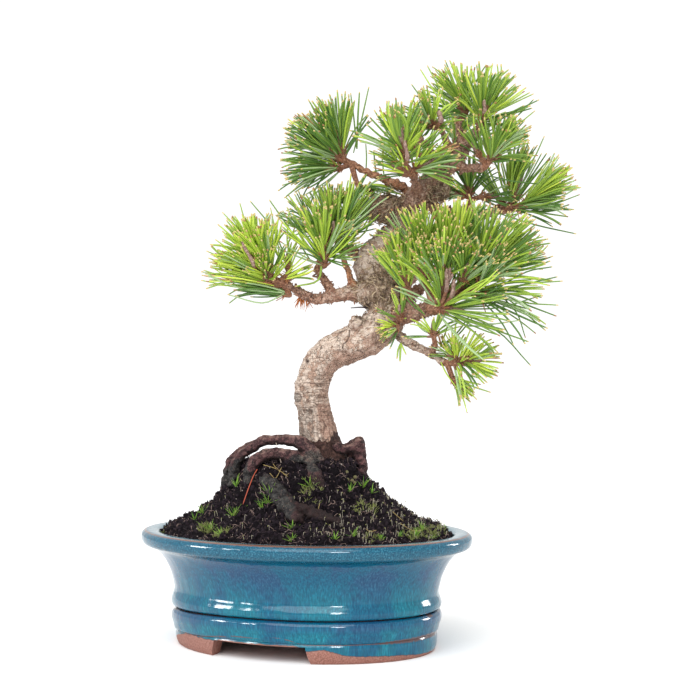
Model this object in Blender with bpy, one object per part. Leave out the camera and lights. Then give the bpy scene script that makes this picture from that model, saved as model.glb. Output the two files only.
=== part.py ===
# Japanese black pine bonsai in an oval glazed pot.
# The trunk rises from a steep mound of peat, bends twice and leans to the right.
# Its boughs end in brushes of stiff needles, and thick roots arch over the mound.
# Metres, +Z up. The viewer of the picture looks along +Y, with +X to the right.
# The pot, soil and tree are modelled round the pot's centre, and stand_on_origin then
# puts the middle of the whole part's box over the origin.

import math
import random

import bmesh
import bpy
import numpy as np
from mathutils import Matrix, Vector

# Driving dimensions
POT_LENGTH = 0.200
POT_WIDTH = 0.163
POT_TURN = math.radians(-25.0)
POT_SIDES = 44
RIM_TOP = 0.0668
WALL_INSIDE = 0.0750
FLOOR_TOP = 0.0145
FLOOR_UNDER = 0.0085
FOOT_OUTSIDE = 0.0786
FOOT_INSIDE = 0.0700
FOOT_GAP_TOP = 0.0095
FOOT_GAP_HALF = 0.0285
FOOT_GAP_SLANT = 0.0035
DRAIN_RADIUS = 0.0065
DRAIN_PLACE = 0.034

GAP = 0.0003
SOIL_EDGE = 0.0640
SOIL_TOP = 0.1072
SOIL_SIDES = 30
TRUNK_FOOT = SOIL_TOP + GAP

TRUNK_SIDES = 14
TRUNK_STEP = 0.0075
BOUGH_SIDES = 6
BOUGH_STEP = 0.0095
ROOT_SIDES = 7
ROOT_STEP = 0.0068
TWIG_SIDES = 4
TWIG_STEP = 0.007

NEEDLE_ROOT = 0.0010
NEEDLE_CLEAR = 0.0014
NEEDLE_APART = 0.0005
NEEDLE_BESIDE = 0.0001
NEEDLE_TESTS = 24
SPACE_SHARE = 0.42
SHOOT_SIDES = 5
SHOOT_RADIUS = 0.0016
SHOOT_SINK = 0.0015
SHOOT_CORE = 0.0011
BUD_LENGTH = 0.004
FORK_LENGTH = 0.002
SEED = 7

# Trunk centreline from its flat foot to its tip: x, y, z and radius.
TRUNK = [
    (0.0100, 0.0000, TRUNK_FOOT, 0.0168),
    (0.0098, 0.0000, 0.1118, 0.0145),
    (0.0090, 0.0000, 0.1172, 0.0119),
    (0.0078, -0.0005, 0.1250, 0.0108),
    (0.0056, -0.0010, 0.1345, 0.0102),
    (0.0037, -0.0030, 0.1470, 0.0096),
    (0.0068, -0.0050, 0.1596, 0.0097),
    (0.0144, -0.0070, 0.1698, 0.0102),
    (0.0278, -0.0080, 0.1755, 0.0105),
    (0.0380, -0.0080, 0.1808, 0.0110),
    (0.0480, -0.0060, 0.1903, 0.0113),
    (0.0486, -0.0020, 0.2020, 0.0106),
    (0.0417, 0.0030, 0.2125, 0.0100),
    (0.0372, 0.0060, 0.2233, 0.0093),
    (0.0447, 0.0070, 0.2324, 0.0079),
    (0.0540, 0.0060, 0.2404, 0.0071),
    (0.0587, 0.0030, 0.2513, 0.0065),
    (0.0627, 0.0000, 0.2598, 0.0064),
    (0.0702, -0.0020, 0.2667, 0.0061),
    (0.0807, -0.0030, 0.2771, 0.0055),
    (0.0895, -0.0020, 0.2859, 0.0042),
    (0.0966, -0.0010, 0.2948, 0.0029),
    (0.1013, 0.0000, 0.3008, 0.0020),
]

# Swellings fused to the trunk: centre and half-sizes along X, Y and Z.
KNOBS = [
    ((0.0450, -0.0045, 0.2055), (0.0150, 0.0100, 0.0105)),
    ((0.0475, 0.0030, 0.2550), (0.0125, 0.0090, 0.0078)),
    ((0.0305, -0.0150, 0.1875), (0.0048, 0.0056, 0.0046)),
    ((0.0015, -0.0105, 0.1440), (0.0030, 0.0028, 0.0032)),
    ((0.0785, -0.0020, 0.2655), (0.0062, 0.0052, 0.0068)),
]

# Surface roots: centreline and radius, from the trunk's foot to under the soil.
ROOTS = {
    "root_base_front": [
        (0.0040, -0.0050, 0.1150, 0.0050),
        (0.0030, -0.0130, 0.1105, 0.0052),
        (0.0050, -0.0205, 0.1035, 0.0052),
        (0.0078, -0.0260, 0.0955, 0.0050),
        (0.0095, -0.0290, 0.0860, 0.0045),
    ],
    "root_arch_upper": [
        (0.0080, -0.0160, 0.1064, 0.0046),
        (0.0050, -0.0152, 0.1125, 0.0044),
        (-0.0010, -0.0120, 0.1182, 0.0038),
        (-0.0110, -0.0098, 0.1201, 0.0032),
        (-0.0215, -0.0090, 0.1197, 0.0031),
        (-0.0304, -0.0084, 0.1155, 0.0031),
        (-0.0378, -0.0080, 0.1100, 0.0031),
        (-0.0409, -0.0078, 0.1029, 0.0031),
        (-0.0415, -0.0076, 0.0930, 0.0030),
    ],
    "root_arch_lower": [
        (0.0020, -0.0180, 0.1055, 0.0048),
        (-0.0052, -0.0175, 0.1098, 0.0042),
        (-0.0124, -0.0172, 0.1120, 0.0037),
        (-0.0190, -0.0172, 0.1126, 0.0036),
        (-0.0256, -0.0174, 0.1105, 0.0037),
        (-0.0300, -0.0176, 0.1060, 0.0037),
        (-0.0312, -0.0177, 0.0980, 0.0034),
        (-0.0315, -0.0177, 0.0900, 0.0030),
    ],
    "root_outer_left": [
        (0.0040, 0.0060, 0.1150, 0.0050),
        (-0.0070, 0.0050, 0.1190, 0.0030),
        (-0.0200, 0.0045, 0.1193, 0.0027),
        (-0.0310, 0.0030, 0.1160, 0.0027),
        (-0.0390, 0.0012, 0.1118, 0.0027),
        (-0.0437, 0.0000, 0.1060, 0.0028),
        (-0.0456, 0.0000, 0.0985, 0.0028),
        (-0.0455, 0.0000, 0.0880, 0.0028),
    ],
    "root_knot_right": [
        (0.0100, -0.0070, 0.1130, 0.0046),
        (0.0190, -0.0075, 0.1152, 0.0036),
        (0.0262, -0.0065, 0.1160, 0.0040),
        (0.0302, -0.0058, 0.1174, 0.0050),
        (0.0322, -0.0050, 0.1095, 0.0044),
        (0.0325, -0.0045, 0.1000, 0.0040),
        (0.0328, -0.0040, 0.0890, 0.0036),
    ],
    "root_behind_right": [
        (0.0120, 0.0050, 0.1125, 0.0052),
        (0.0220, 0.0055, 0.1118, 0.0046),
        (0.0290, 0.0045, 0.1085, 0.0042),
        (0.0322, 0.0040, 0.1030, 0.0038),
        (0.0336, 0.0035, 0.0940, 0.0034),
    ],
    "root_thin_right": [
        (0.0140, -0.0110, 0.1085, 0.0022),
        (0.0215, -0.0118, 0.1072, 0.0013),
        (0.0280, -0.0112, 0.1040, 0.0012),
        (0.0350, -0.0095, 0.1000, 0.0012),
        (0.0370, -0.0090, 0.0950, 0.0012),
    ],
}

# Roots that lie on the soil: x, y and radius. Their height follows the mound.
CRAWLING_ROOTS = {
    "root_front": [
        (-0.0230, -0.0190, 0.0018),
        (-0.0216, -0.0230, 0.0038),
        (-0.0174, -0.0276, 0.0048),
        (-0.0132, -0.0324, 0.0051),
        (-0.0090, -0.0381, 0.0046),
        (-0.0050, -0.0440, 0.0034),
        (-0.0020, -0.0490, 0.0020),
    ],
    "root_front_low": [
        (-0.0090, -0.0378, 0.0032),
        (0.0012, -0.0415, 0.0031),
        (0.0086, -0.0448, 0.0027),
        (0.0153, -0.0477, 0.0022),
        (0.0215, -0.0502, 0.0016),
    ],
    "root_back_left": [
        (0.0020, 0.0100, 0.0046),
        (-0.0120, 0.0240, 0.0040),
        (-0.0240, 0.0360, 0.0030),
        (-0.0300, 0.0460, 0.0020),
    ],
    "root_back_right": [
        (0.0160, 0.0100, 0.0046),
        (0.0280, 0.0240, 0.0040),
        (0.0330, 0.0380, 0.0030),
        (0.0430, 0.0460, 0.0020),
    ],
}
ROOT_RIDE = 0.35

# Boughs: centreline and radius out to the tip. Each starts inside the limb that it grows
# from, and is cut clear of it: that limb is the trunk or an earlier bough.
BOUGHS = {
    "bough_low_left": [
        (0.0428, 0.0000, 0.2054, 0.0058),
        (0.0235, -0.0040, 0.2052, 0.0045),
        (0.0078, -0.0080, 0.2012, 0.0033),
        (-0.0060, -0.0090, 0.2072, 0.0025),
        (-0.0109, -0.0090, 0.2097, 0.0022),
    ],
    "bough_mid_left": [
        (0.0165, -0.0055, 0.2045, 0.0031),
        (0.0124, -0.0050, 0.2110, 0.0027),
        (0.0077, -0.0030, 0.2175, 0.0022),
        (0.0073, -0.0027, 0.2189, 0.0021),
    ],
    "bough_inner_left": [
        (0.0295, -0.0030, 0.2060, 0.0026),
        (0.0264, -0.0040, 0.2140, 0.0018),
        (0.0241, -0.0040, 0.2210, 0.0017),
        (0.0211, -0.0030, 0.2304, 0.0016),
    ],
    "bough_upper_left": [
        (0.0640, 0.0010, 0.2630, 0.0029),
        (0.0529, 0.0040, 0.2702, 0.0025),
        (0.0441, 0.0060, 0.2733, 0.0023),
        (0.0353, 0.0080, 0.2777, 0.0022),
        (0.0291, 0.0093, 0.2809, 0.0021),
    ],
    "bough_front_centre": [
        (0.0650, -0.0010, 0.2620, 0.0028),
        (0.0645, -0.0120, 0.2690, 0.0024),
        (0.0626, -0.0168, 0.2734, 0.0022),
    ],
    "bough_top_left": [
        (0.0800, -0.0010, 0.2760, 0.0026),
        (0.0735, 0.0060, 0.2898, 0.0024),
        (0.0666, 0.0080, 0.2972, 0.0021),
        (0.0590, 0.0080, 0.3025, 0.0018),
    ],
    "bough_top_front": [
        (0.0860, -0.0020, 0.2820, 0.0024),
        (0.0821, -0.0090, 0.2938, 0.0021),
        (0.0790, -0.0120, 0.3003, 0.0018),
    ],
    "bough_top_second": [
        (0.0920, -0.0010, 0.2890, 0.0022),
        (0.0912, 0.0060, 0.3004, 0.0020),
        (0.0900, 0.0074, 0.3064, 0.0019),
    ],
    "bough_top_right": [
        (0.0840, -0.0030, 0.2800, 0.0028),
        (0.1008, -0.0070, 0.2766, 0.0026),
        (0.1038, -0.0084, 0.2783, 0.0024),
    ],
    "bough_right": [
        (0.0680, -0.0010, 0.2640, 0.0044),
        (0.0780, 0.0110, 0.2540, 0.0038),
        (0.1036, 0.0140, 0.2528, 0.0032),
        (0.1173, 0.0140, 0.2552, 0.0026),
    ],
    "bough_centre": [
        (0.0900, 0.0130, 0.2530, 0.0022),
        (0.0958, 0.0142, 0.2556, 0.0021),
        (0.0975, 0.0146, 0.2586, 0.0019),
    ],
    "bough_front": [
        (0.0500, -0.0080, 0.1920, 0.0060),
        (0.0620, -0.0220, 0.1925, 0.0048),
        (0.0738, -0.0340, 0.1963, 0.0038),
    ],
    "bough_front_left": [
        (0.0600, -0.0195, 0.1925, 0.0028),
        (0.0630, -0.0235, 0.1985, 0.0023),
        (0.0616, -0.0250, 0.2024, 0.0020),
    ],
    "bough_front_middle": [
        (0.0500, -0.0040, 0.1985, 0.0042),
        (0.0640, -0.0130, 0.2050, 0.0032),
        (0.0730, -0.0210, 0.2140, 0.0024),
    ],
    "bough_front_right": [
        (0.0640, -0.0235, 0.1930, 0.0034),
        (0.0760, -0.0245, 0.1985, 0.0030),
        (0.0850, -0.0260, 0.2020, 0.0026),
        (0.0895, -0.0277, 0.2037, 0.0024),
    ],
    "bough_low_right": [
        (0.0480, -0.0100, 0.1850, 0.0032),
        (0.0575, -0.0180, 0.1782, 0.0029),
        (0.0632, -0.0190, 0.1743, 0.0026),
        (0.0734, -0.0200, 0.1703, 0.0024),
        (0.0797, -0.0215, 0.1648, 0.0019),
    ],
    "bough_low_inner": [
        (0.0734, -0.0200, 0.1703, 0.0020),
        (0.0742, -0.0250, 0.1728, 0.0018),
        (0.0746, -0.0290, 0.1758, 0.0016),
    ],
    "bough_back_right": [
        (0.0480, 0.0000, 0.2050, 0.0050),
        (0.0570, 0.0180, 0.2110, 0.0040),
        (0.0660, 0.0330, 0.2170, 0.0032),
        (0.0740, 0.0420, 0.2210, 0.0025),
    ],
    "bough_back_top": [
        (0.0790, -0.0020, 0.2750, 0.0032),
        (0.0800, 0.0140, 0.2820, 0.0028),
        (0.0800, 0.0290, 0.2880, 0.0023),
        (0.0800, 0.0380, 0.2920, 0.0020),
    ],
    "bough_back_left": [
        (0.0380, 0.0060, 0.2250, 0.0044),
        (0.0310, 0.0190, 0.2290, 0.0036),
        (0.0230, 0.0320, 0.2340, 0.0028),
        (0.0190, 0.0400, 0.2380, 0.0022),
    ],
}

# Masses of needles: the limb whose tip carries each one, then its shoots.
# A shoot: foot x, y, z, heading and tilt in degrees, twig length, reach, spread in degrees,
# and rounds of needles, each of ten or fewer.
# The heading is measured in the picture from right to up, and the tilt is towards the viewer.
MASSES = {
    "needles_low_left": ("bough_low_left", [
        (-0.0257, -0.0080, 0.2178, 117, 5, 0.014, 0.0286, 52, 6),
        (-0.0192, -0.0100, 0.2119, 101, 20, 0.011, 0.0318, 51, 4),
        (-0.0150, -0.0095, 0.2088, 160, -6, 0.004, 0.0410, 16, 2),
        (-0.0095, -0.0060, 0.2133, 91, -18, 0.012, 0.0160, 40, 1),
        (-0.0131, -0.0110, 0.2130, 19, 16, 0.004, 0.0187, 22, 1),
        (-0.0075, -0.0095, 0.2034, 165, 0, 0.004, 0.0271, 14, 2),
    ]),
    "needles_mid_left": ("bough_mid_left", [
        (0.0132, 0.0010, 0.2319, 87, 0, 0.015, 0.0377, 59, 6),
        (0.0118, -0.0080, 0.2208, 98, 22, 0.013, 0.0395, 54, 3),
        (0.0091, -0.0040, 0.2264, 24, 10, 0.006, 0.0222, 50, 2),
    ]),
    "needles_inner_left": ("bough_inner_left", [
        (0.0193, -0.0030, 0.2357, 64, 4, 0.009, 0.0408, 40, 3),
        (0.0274, 0.0000, 0.2460, 90, 0, 0.015, 0.0347, 15, 2),
    ]),
    "needles_upper_left": ("bough_upper_left", [
        (0.0231, 0.0100, 0.2846, 156, -4, 0.015, 0.0327, 63, 6),
        (0.0225, 0.0070, 0.2850, 98, 12, 0.015, 0.0303, 53, 4),
        (0.0217, 0.0090, 0.2799, 186, 14, 0.007, 0.0354, 28, 2),
        (0.0308, 0.0060, 0.2693, -36, 5, 0.009, 0.0271, 40, 2),
    ]),
    "needles_front_centre": ("bough_front_centre", [
        (0.0578, -0.0220, 0.2785, 97, 24, 0.012, 0.0324, 67, 5),
        (0.0604, -0.0200, 0.2719, 195, 12, 0.006, 0.0179, 50, 2),
        (0.0630, -0.0180, 0.2753, 27, 12, 0.004, 0.0269, 56, 2),
    ]),
    "needles_top_left": ("bough_top_left", [
        (0.0529, 0.0080, 0.3001, 90, 0, 0.007, 0.0133, 59, 4),
    ]),
    "needles_top_front": ("bough_top_front", [
        (0.0736, -0.0140, 0.3005, 102, 42, 0.005, 0.0211, 78, 4),
    ]),
    "needles_top": ("trunk", [
        (0.1026, 0.0000, 0.3035, 72, 4, 0.011, 0.0322, 79, 7),
    ]),
    "needles_top_second": ("bough_top_second", [
        (0.0949, 0.0082, 0.3115, 119, -4, 0.006, 0.0304, 55, 4),
    ]),
    "needles_top_right": ("bough_top_right", [
        (0.1073, -0.0112, 0.2810, 59, 10, 0.011, 0.0246, 72, 6),
        (0.1041, -0.0100, 0.2806, 124, 14, 0.008, 0.0214, 47, 1),
    ]),
    "needles_right": ("bough_right", [
        (0.1217, 0.0160, 0.2556, 68, -10, 0.013, 0.0358, 43, 4),
        (0.1278, 0.0120, 0.2573, 34, 6, 0.012, 0.0289, 33, 4),
        (0.1193, 0.0120, 0.2561, 7, 16, 0.009, 0.0351, 38, 1),
        (0.1217, 0.0180, 0.2563, 122, -16, 0.005, 0.0342, 35, 2),
    ]),
    "needles_centre": ("bough_centre", [
        (0.0978, 0.0150, 0.2631, 100, 0, 0.008, 0.0222, 58, 2),
        (0.0969, 0.0120, 0.2625, 165, 10, 0.008, 0.0228, 45, 2),
        (0.1030, 0.0120, 0.2625, 4, 10, 0.008, 0.0239, 46, 2),
    ]),
    "needles_front_left": ("bough_front_left", [
        (0.0597, -0.0266, 0.2058, 107, 8, 0.015, 0.0282, 30, 4),
    ]),
    "needles_front_middle": ("bough_front_middle", [
        (0.0712, -0.0250, 0.2200, 100, 10, 0.016, 0.0407, 46, 4),
        (0.0851, -0.0250, 0.2215, 66, 8, 0.010, 0.0342, 35, 4),
    ]),
    "needles_front": ("bough_front", [
        (0.0764, -0.0390, 0.1950, 76, 28, 0.017, 0.0388, 60, 7),
        (0.0742, -0.0400, 0.1953, -5, 18, 0.008, 0.0425, 44, 2),
    ]),
    "needles_front_right": ("bough_front_right", [
        (0.0976, -0.0300, 0.2100, 69, 14, 0.011, 0.0422, 53, 4),
        (0.1081, -0.0220, 0.2150, 35, -4, 0.006, 0.0328, 37, 4),
        (0.0956, -0.0320, 0.2036, -8, 4, 0.006, 0.0416, 37, 2),
        (0.0998, -0.0260, 0.2175, 49, 10, 0.010, 0.0384, 24, 2),
        (0.0868, -0.0330, 0.2052, 32, 10, 0.004, 0.0302, 33, 2),
    ]),
    "needles_low_right": ("bough_low_right", [
        (0.0853, -0.0240, 0.1642, 10, 14, 0.012, 0.0226, 76, 5),
        (0.0850, -0.0225, 0.1560, -48, -8, 0.004, 0.0150, 28, 1),
        (0.0865, -0.0250, 0.1668, 132, 10, 0.004, 0.0147, 58, 2),
    ]),
    "needles_low_inner": ("bough_low_inner", [
        (0.0738, -0.0320, 0.1795, 92, 10, 0.004, 0.0175, 76, 2),
    ]),
    "needles_trunk_tuft": ("trunk", [
        (0.0555, -0.0215, 0.1895, 96, 30, 0.004, 0.0160, 62, 1),
        (0.0539, -0.0215, 0.1850, 194, 30, 0.004, 0.0121, 47, 1),
    ]),
    "needles_back_right": ("bough_back_right", [
        (0.0880, 0.0480, 0.2250, 52, -34, 0.012, 0.0320, 60, 5),
        (0.0660, 0.0500, 0.2240, 118, -34, 0.012, 0.0310, 58, 4),
    ]),
    "needles_back_top": ("bough_back_top", [
        (0.0900, 0.0420, 0.2960, 66, -34, 0.011, 0.0300, 60, 5),
        (0.0700, 0.0420, 0.2910, 122, -34, 0.011, 0.0280, 58, 4),
    ]),
    "needles_back_left": ("bough_back_left", [
        (0.0170, 0.0440, 0.2410, 102, -30, 0.012, 0.0300, 62, 6),
    ]),
}
# Where a tuft sits on the side of the trunk: the point that its stem starts from.
TUFT_START = (0.0520, -0.0100, 0.1870)


def clear_scene():
    for thing in list(bpy.data.objects):
        bpy.data.objects.remove(thing)


def material(name, colour, roughness):
    made = bpy.data.materials.new(name)
    made.use_nodes = True
    shader = made.node_tree.nodes["Principled BSDF"]
    shader.inputs["Base Color"].default_value = (*colour, 1.0)
    shader.inputs["Roughness"].default_value = roughness
    shader.inputs["Metallic"].default_value = 0.0
    made.diffuse_color = (*colour, 1.0)
    return made


def object_from(name, verts, faces):
    mesh = bpy.data.meshes.new(name)
    mesh.from_pydata([tuple(v) for v in verts], [], faces)
    shape = bmesh.new()
    shape.from_mesh(mesh)
    bmesh.ops.recalc_face_normals(shape, faces=shape.faces)
    shape.to_mesh(mesh)
    shape.free()
    made = bpy.data.objects.new(name, mesh)
    bpy.context.scene.collection.objects.link(made)
    return made


def finish(made, coat):
    made.data.materials.clear()
    made.data.materials.append(coat)
    made.data.shade_smooth()
    made.data.set_sharp_from_angle(angle=math.radians(40.0))


# Boolean of one object, or of a whole collection, applied at once.
def boolean(target, operation, solver, other=None, group=None):
    cut = target.modifiers.new("Boolean", "BOOLEAN")
    cut.operation = operation
    cut.solver = solver
    if group is None:
        cut.object = other
    else:
        cut.operand_type = "COLLECTION"
        cut.collection = group
    scene_state = bpy.context.evaluated_depsgraph_get()
    result = bpy.data.meshes.new_from_object(target.evaluated_get(scene_state))
    target.modifiers.clear()
    target.data = result


# Elliptic ring of the pot, turned with the pot.
def ring(half_length, height, sides, grow=0.0):
    half_width = half_length - (POT_LENGTH - POT_WIDTH) / 2
    points = []
    for k in range(sides):
        angle = 2 * math.pi * k / sides
        x = (half_length + grow) * math.cos(angle)
        y = (half_width + grow) * math.sin(angle)
        points.append(Matrix.Rotation(POT_TURN, 3, "Z") @ Vector((x, y, height)))
    return points


# Closed solid through rings of points, flat across its first and last ring.
def loft(name, rings):
    sides = len(rings[0])
    verts = [point for row in rings for point in row]
    faces = [list(range(sides))]
    faces.append([(len(rings) - 1) * sides + k for k in range(sides)])
    for level in range(len(rings) - 1):
        low = level * sides
        for k in range(sides):
            after = (k + 1) % sides
            faces.append((low + k, low + after, low + sides + after))
            faces.append((low + k, low + sides + after, low + sides + k))
    return object_from(name, verts, faces)


# Round bead: half-length and height of the points round its outer side, from the top.
def bead(half_length, top, bottom, stand, steps=3):
    middle = (top + bottom) / 2
    half = (top - bottom) / 2
    points = []
    for k in range(steps + 1):
        angle = math.pi / 2 - math.pi * k / steps
        out = half_length + stand * math.cos(angle)
        points.append((out, middle + half * math.sin(angle)))
    return points


def pot_outline():
    half = POT_LENGTH / 2
    inside = [
        (WALL_INSIDE - 0.004, FLOOR_TOP),
        (WALL_INSIDE, FLOOR_TOP + 0.005),
        (WALL_INSIDE + 0.001, 0.036),
        (half - 0.0165, 0.052),
        (half - 0.0108, RIM_TOP - 0.0022),
    ]
    rim = [
        (half - 0.0060, RIM_TOP),
        (half - 0.0012, RIM_TOP - 0.0006),
        (half, RIM_TOP - 0.0035),
        (half - 0.0012, RIM_TOP - 0.0078),
        (half - 0.0040, RIM_TOP - 0.0092),
    ]
    wall = [
        (half - 0.0110, 0.0540),
        (half - 0.0150, 0.0480),
        (half - 0.0184, 0.0410),
        (half - 0.0197, 0.0345),
    ]
    waist = half - 0.0201
    upper_bead = bead(waist, 0.0311, 0.0243, 0.0022)
    lower_bead = bead(waist - 0.0006, 0.0232, 0.0114, 0.0022)
    groove = [(waist - 0.0006, 0.0238)]
    foot = [
        (FOOT_OUTSIDE + 0.0006, 0.0080),
        (FOOT_OUTSIDE, 0.0012),
        (FOOT_OUTSIDE - 0.0010, 0.0),
        (FOOT_INSIDE, 0.0),
        (FOOT_INSIDE - 0.0008, FLOOR_UNDER),
    ]
    return inside + rim + wall + upper_bead + groove + lower_bead + foot


def foot_gap(side):
    half_top = FOOT_GAP_HALF
    half_low = FOOT_GAP_HALF + FOOT_GAP_SLANT
    near = 0.046 * side
    far = 0.075 * side
    low = -0.004
    corners = [
        (-half_low, near, low), (half_low, near, low),
        (half_low, far, low), (-half_low, far, low),
        (-half_top, near, FOOT_GAP_TOP), (half_top, near, FOOT_GAP_TOP),
        (half_top, far, FOOT_GAP_TOP), (-half_top, far, FOOT_GAP_TOP),
    ]
    turn = Matrix.Rotation(POT_TURN, 3, "Z")
    faces = [(0, 1, 2, 3), (4, 5, 6, 7), (0, 1, 5, 4), (1, 2, 6, 5), (2, 3, 7, 6), (3, 0, 4, 7)]
    return object_from("foot_gap", [turn @ Vector(c) for c in corners], faces)


def drain_cutter(place):
    centre = Matrix.Rotation(POT_TURN, 3, "Z") @ Vector((place, 0.0, 0.0))
    rings = []
    for height in (FLOOR_UNDER - 0.003, FLOOR_TOP + 0.003):
        row = []
        for k in range(12):
            angle = 2 * math.pi * k / 12
            offset = Vector((math.cos(angle), math.sin(angle), 0.0)) * DRAIN_RADIUS
            row.append(centre + offset + Vector((0.0, 0.0, height)))
        rings.append(row)
    return loft("drain", rings)


def make_pot(coat):
    pot = loft("pot", [ring(out, height, POT_SIDES) for out, height in pot_outline()])
    cutters = [foot_gap(-1), foot_gap(1), drain_cutter(-DRAIN_PLACE), drain_cutter(DRAIN_PLACE)]
    for cutter in cutters:
        boolean(pot, "DIFFERENCE", "EXACT", other=cutter)
        bpy.data.objects.remove(cutter)
    finish(pot, coat)
    return pot


# Share of the way from the mound's middle to the pot's wall, and the soil's height there.
# The top of the mound lies to the left of the pot's middle.
MOUND = [
    (0.00, SOIL_TOP),
    (0.40, SOIL_TOP),
    (0.45, 0.1005),
    (0.50, 0.0946),
    (0.58, 0.0864),
    (0.66, 0.0808),
    (0.74, 0.0763),
    (0.84, 0.0718),
    (0.94, 0.0688),
    (1.00, SOIL_EDGE),
]
MOUND_SHIFT = -0.0130
MOUND_SQUEEZE = 0.40
SOIL_HALF_LENGTH = POT_LENGTH / 2 - 0.0115


# How far a ring of the mound lies to the side, and how much of its depth it keeps.
def mound_shift(share):
    return MOUND_SHIFT * (1.0 - share) ** 2


def mound_depth(share):
    return 1.0 - MOUND_SQUEEZE * (1.0 - share)


def soil_height(x, y):
    half_width = SOIL_HALF_LENGTH - (POT_LENGTH - POT_WIDTH) / 2
    share = 0.5
    for _ in range(12):
        offset = Vector((x - mound_shift(share), y / mound_depth(share), 0.0))
        local = Matrix.Rotation(-POT_TURN, 3, "Z") @ offset
        share = math.hypot(local.x / SOIL_HALF_LENGTH, local.y / half_width)
    return float(np.interp(share, [s for s, _ in MOUND], [h for _, h in MOUND]))


def make_soil(coat, grow=0.0):
    half_length = SOIL_HALF_LENGTH
    rings = []
    for depth, out in ((FLOOR_TOP, -0.0045), (FLOOR_TOP + 0.005, 0.0), (0.036, 0.001)):
        rings.append(ring(WALL_INSIDE + out, depth + GAP, SOIL_SIDES, -GAP))
    rings.append(ring(POT_LENGTH / 2 - 0.0168, 0.052, SOIL_SIDES, -GAP))
    rings.append(ring(half_length, SOIL_EDGE + grow, SOIL_SIDES, -GAP))
    noise = random.Random(SEED)
    for share, height in reversed(MOUND[1:-1]):
        row = []
        for corner in ring(half_length, 0.0, SOIL_SIDES):
            sway = 0.0
            if height < SOIL_TOP:
                sway = noise.uniform(-0.0009, 0.0009)
            x = corner.x * share + mound_shift(share)
            y = corner.y * share * mound_depth(share)
            row.append(Vector((x, y, height + sway + grow)))
        rings.append(row)
    soil = loft("soil", rings)
    finish(soil, coat)
    return soil


# Smooth curve through stations of x, y, z and radius, read again at even steps.
def smooth_path(stations, step):
    rows = np.array(stations, dtype=float)
    first = 2 * rows[0] - rows[1]
    last = 2 * rows[-1] - rows[-2]
    padded = np.vstack([first, rows, last])
    fine = []
    for i in range(len(rows) - 1):
        a, b, c, d = padded[i:i + 4]
        for t in np.linspace(0.0, 1.0, 12, endpoint=False):
            curve = 2 * b + (c - a) * t
            curve = curve + (2 * a - 5 * b + 4 * c - d) * t ** 2
            curve = curve + (3 * b - a - 3 * c + d) * t ** 3
            fine.append(curve / 2)
    fine.append(rows[-1])
    fine = np.array(fine)
    along = np.concatenate([[0.0], np.cumsum(np.linalg.norm(np.diff(fine[:, :3], axis=0), axis=1))])
    count = max(2, round(along[-1] / step) + 1)
    places = np.linspace(0.0, along[-1], count)
    return np.column_stack([np.interp(places, along, fine[:, k]) for k in range(4)])


# Rings round a path. Each ring is square to the path, turned as little as it can be.
def rings_along(path, sides, grow=0.0, rough=0.0, first_way=None):
    points = path[:, :3]
    ways = np.gradient(points, axis=0)
    ways = ways / np.linalg.norm(ways, axis=1)[:, None]
    if first_way is not None:
        ways[0] = first_way
    across = np.cross(ways[0], (0.0, 1.0, 0.0))
    rings = []
    for i, point in enumerate(points):
        across = across - ways[i] * np.dot(across, ways[i])
        across = across / np.linalg.norm(across)
        other = np.cross(ways[i], across)
        row = []
        for k in range(sides):
            angle = 2 * math.pi * k / sides
            lump = math.sin(2 * angle + 1.3 * i) + 0.7 * math.sin(3 * angle - 2.1 * i)
            radius = path[i, 3] * (1 + rough * lump) + grow
            row.append(Vector(point + radius * (math.cos(angle) * across + math.sin(angle) * other)))
        rings.append(row)
    return rings


def limb(name, stations, sides, step, grow=0.0, rough=0.0, first_way=None):
    path = smooth_path(stations, step)
    return loft(name, rings_along(path, sides, grow, rough, first_way))


def knob(centre, half_sizes, grow=0.0):
    shape = bmesh.new()
    bmesh.ops.create_icosphere(shape, subdivisions=2, radius=1.0)
    for vert in shape.verts:
        lump = 1.0 + 0.06 * math.sin(5 * vert.co.x + 3 * vert.co.z)
        for axis in range(3):
            vert.co[axis] = centre[axis] + vert.co[axis] * (half_sizes[axis] * lump + grow)
    mesh = bpy.data.meshes.new("knob")
    shape.to_mesh(mesh)
    shape.free()
    made = bpy.data.objects.new("knob", mesh)
    bpy.context.scene.collection.objects.link(made)
    return made


# The trunk with its knobs, or with grow the space that its neighbours keep out of.
def trunk_solid(name, grow=0.0):
    path = smooth_path(TRUNK, TRUNK_STEP)
    path[0, :2] = path[1, :2]
    rings = rings_along(path, TRUNK_SIDES, grow, 0.025)
    for point in rings[0]:
        point.z = TRUNK_FOOT - grow
    trunk = loft(name, rings)
    for centre, half_sizes in KNOBS:
        lump = knob(centre, half_sizes, grow)
        boolean(trunk, "UNION", "EXACT", other=lump)
        bpy.data.objects.remove(lump)
    return trunk


def largest_piece(made):
    shape = bmesh.new()
    shape.from_mesh(made.data)
    left = set(shape.verts)
    pieces = []
    while left:
        piece = set()
        ahead = [left.pop()]
        while ahead:
            vert = ahead.pop()
            piece.add(vert)
            for edge in vert.link_edges:
                other = edge.other_vert(vert)
                if other in left:
                    left.discard(other)
                    ahead.append(other)
        pieces.append(piece)
    pieces.sort(key=len)
    for piece in pieces[:-1]:
        bmesh.ops.delete(shape, geom=list(piece), context="VERTS")
    shape.to_mesh(made.data)
    shape.free()


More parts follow.
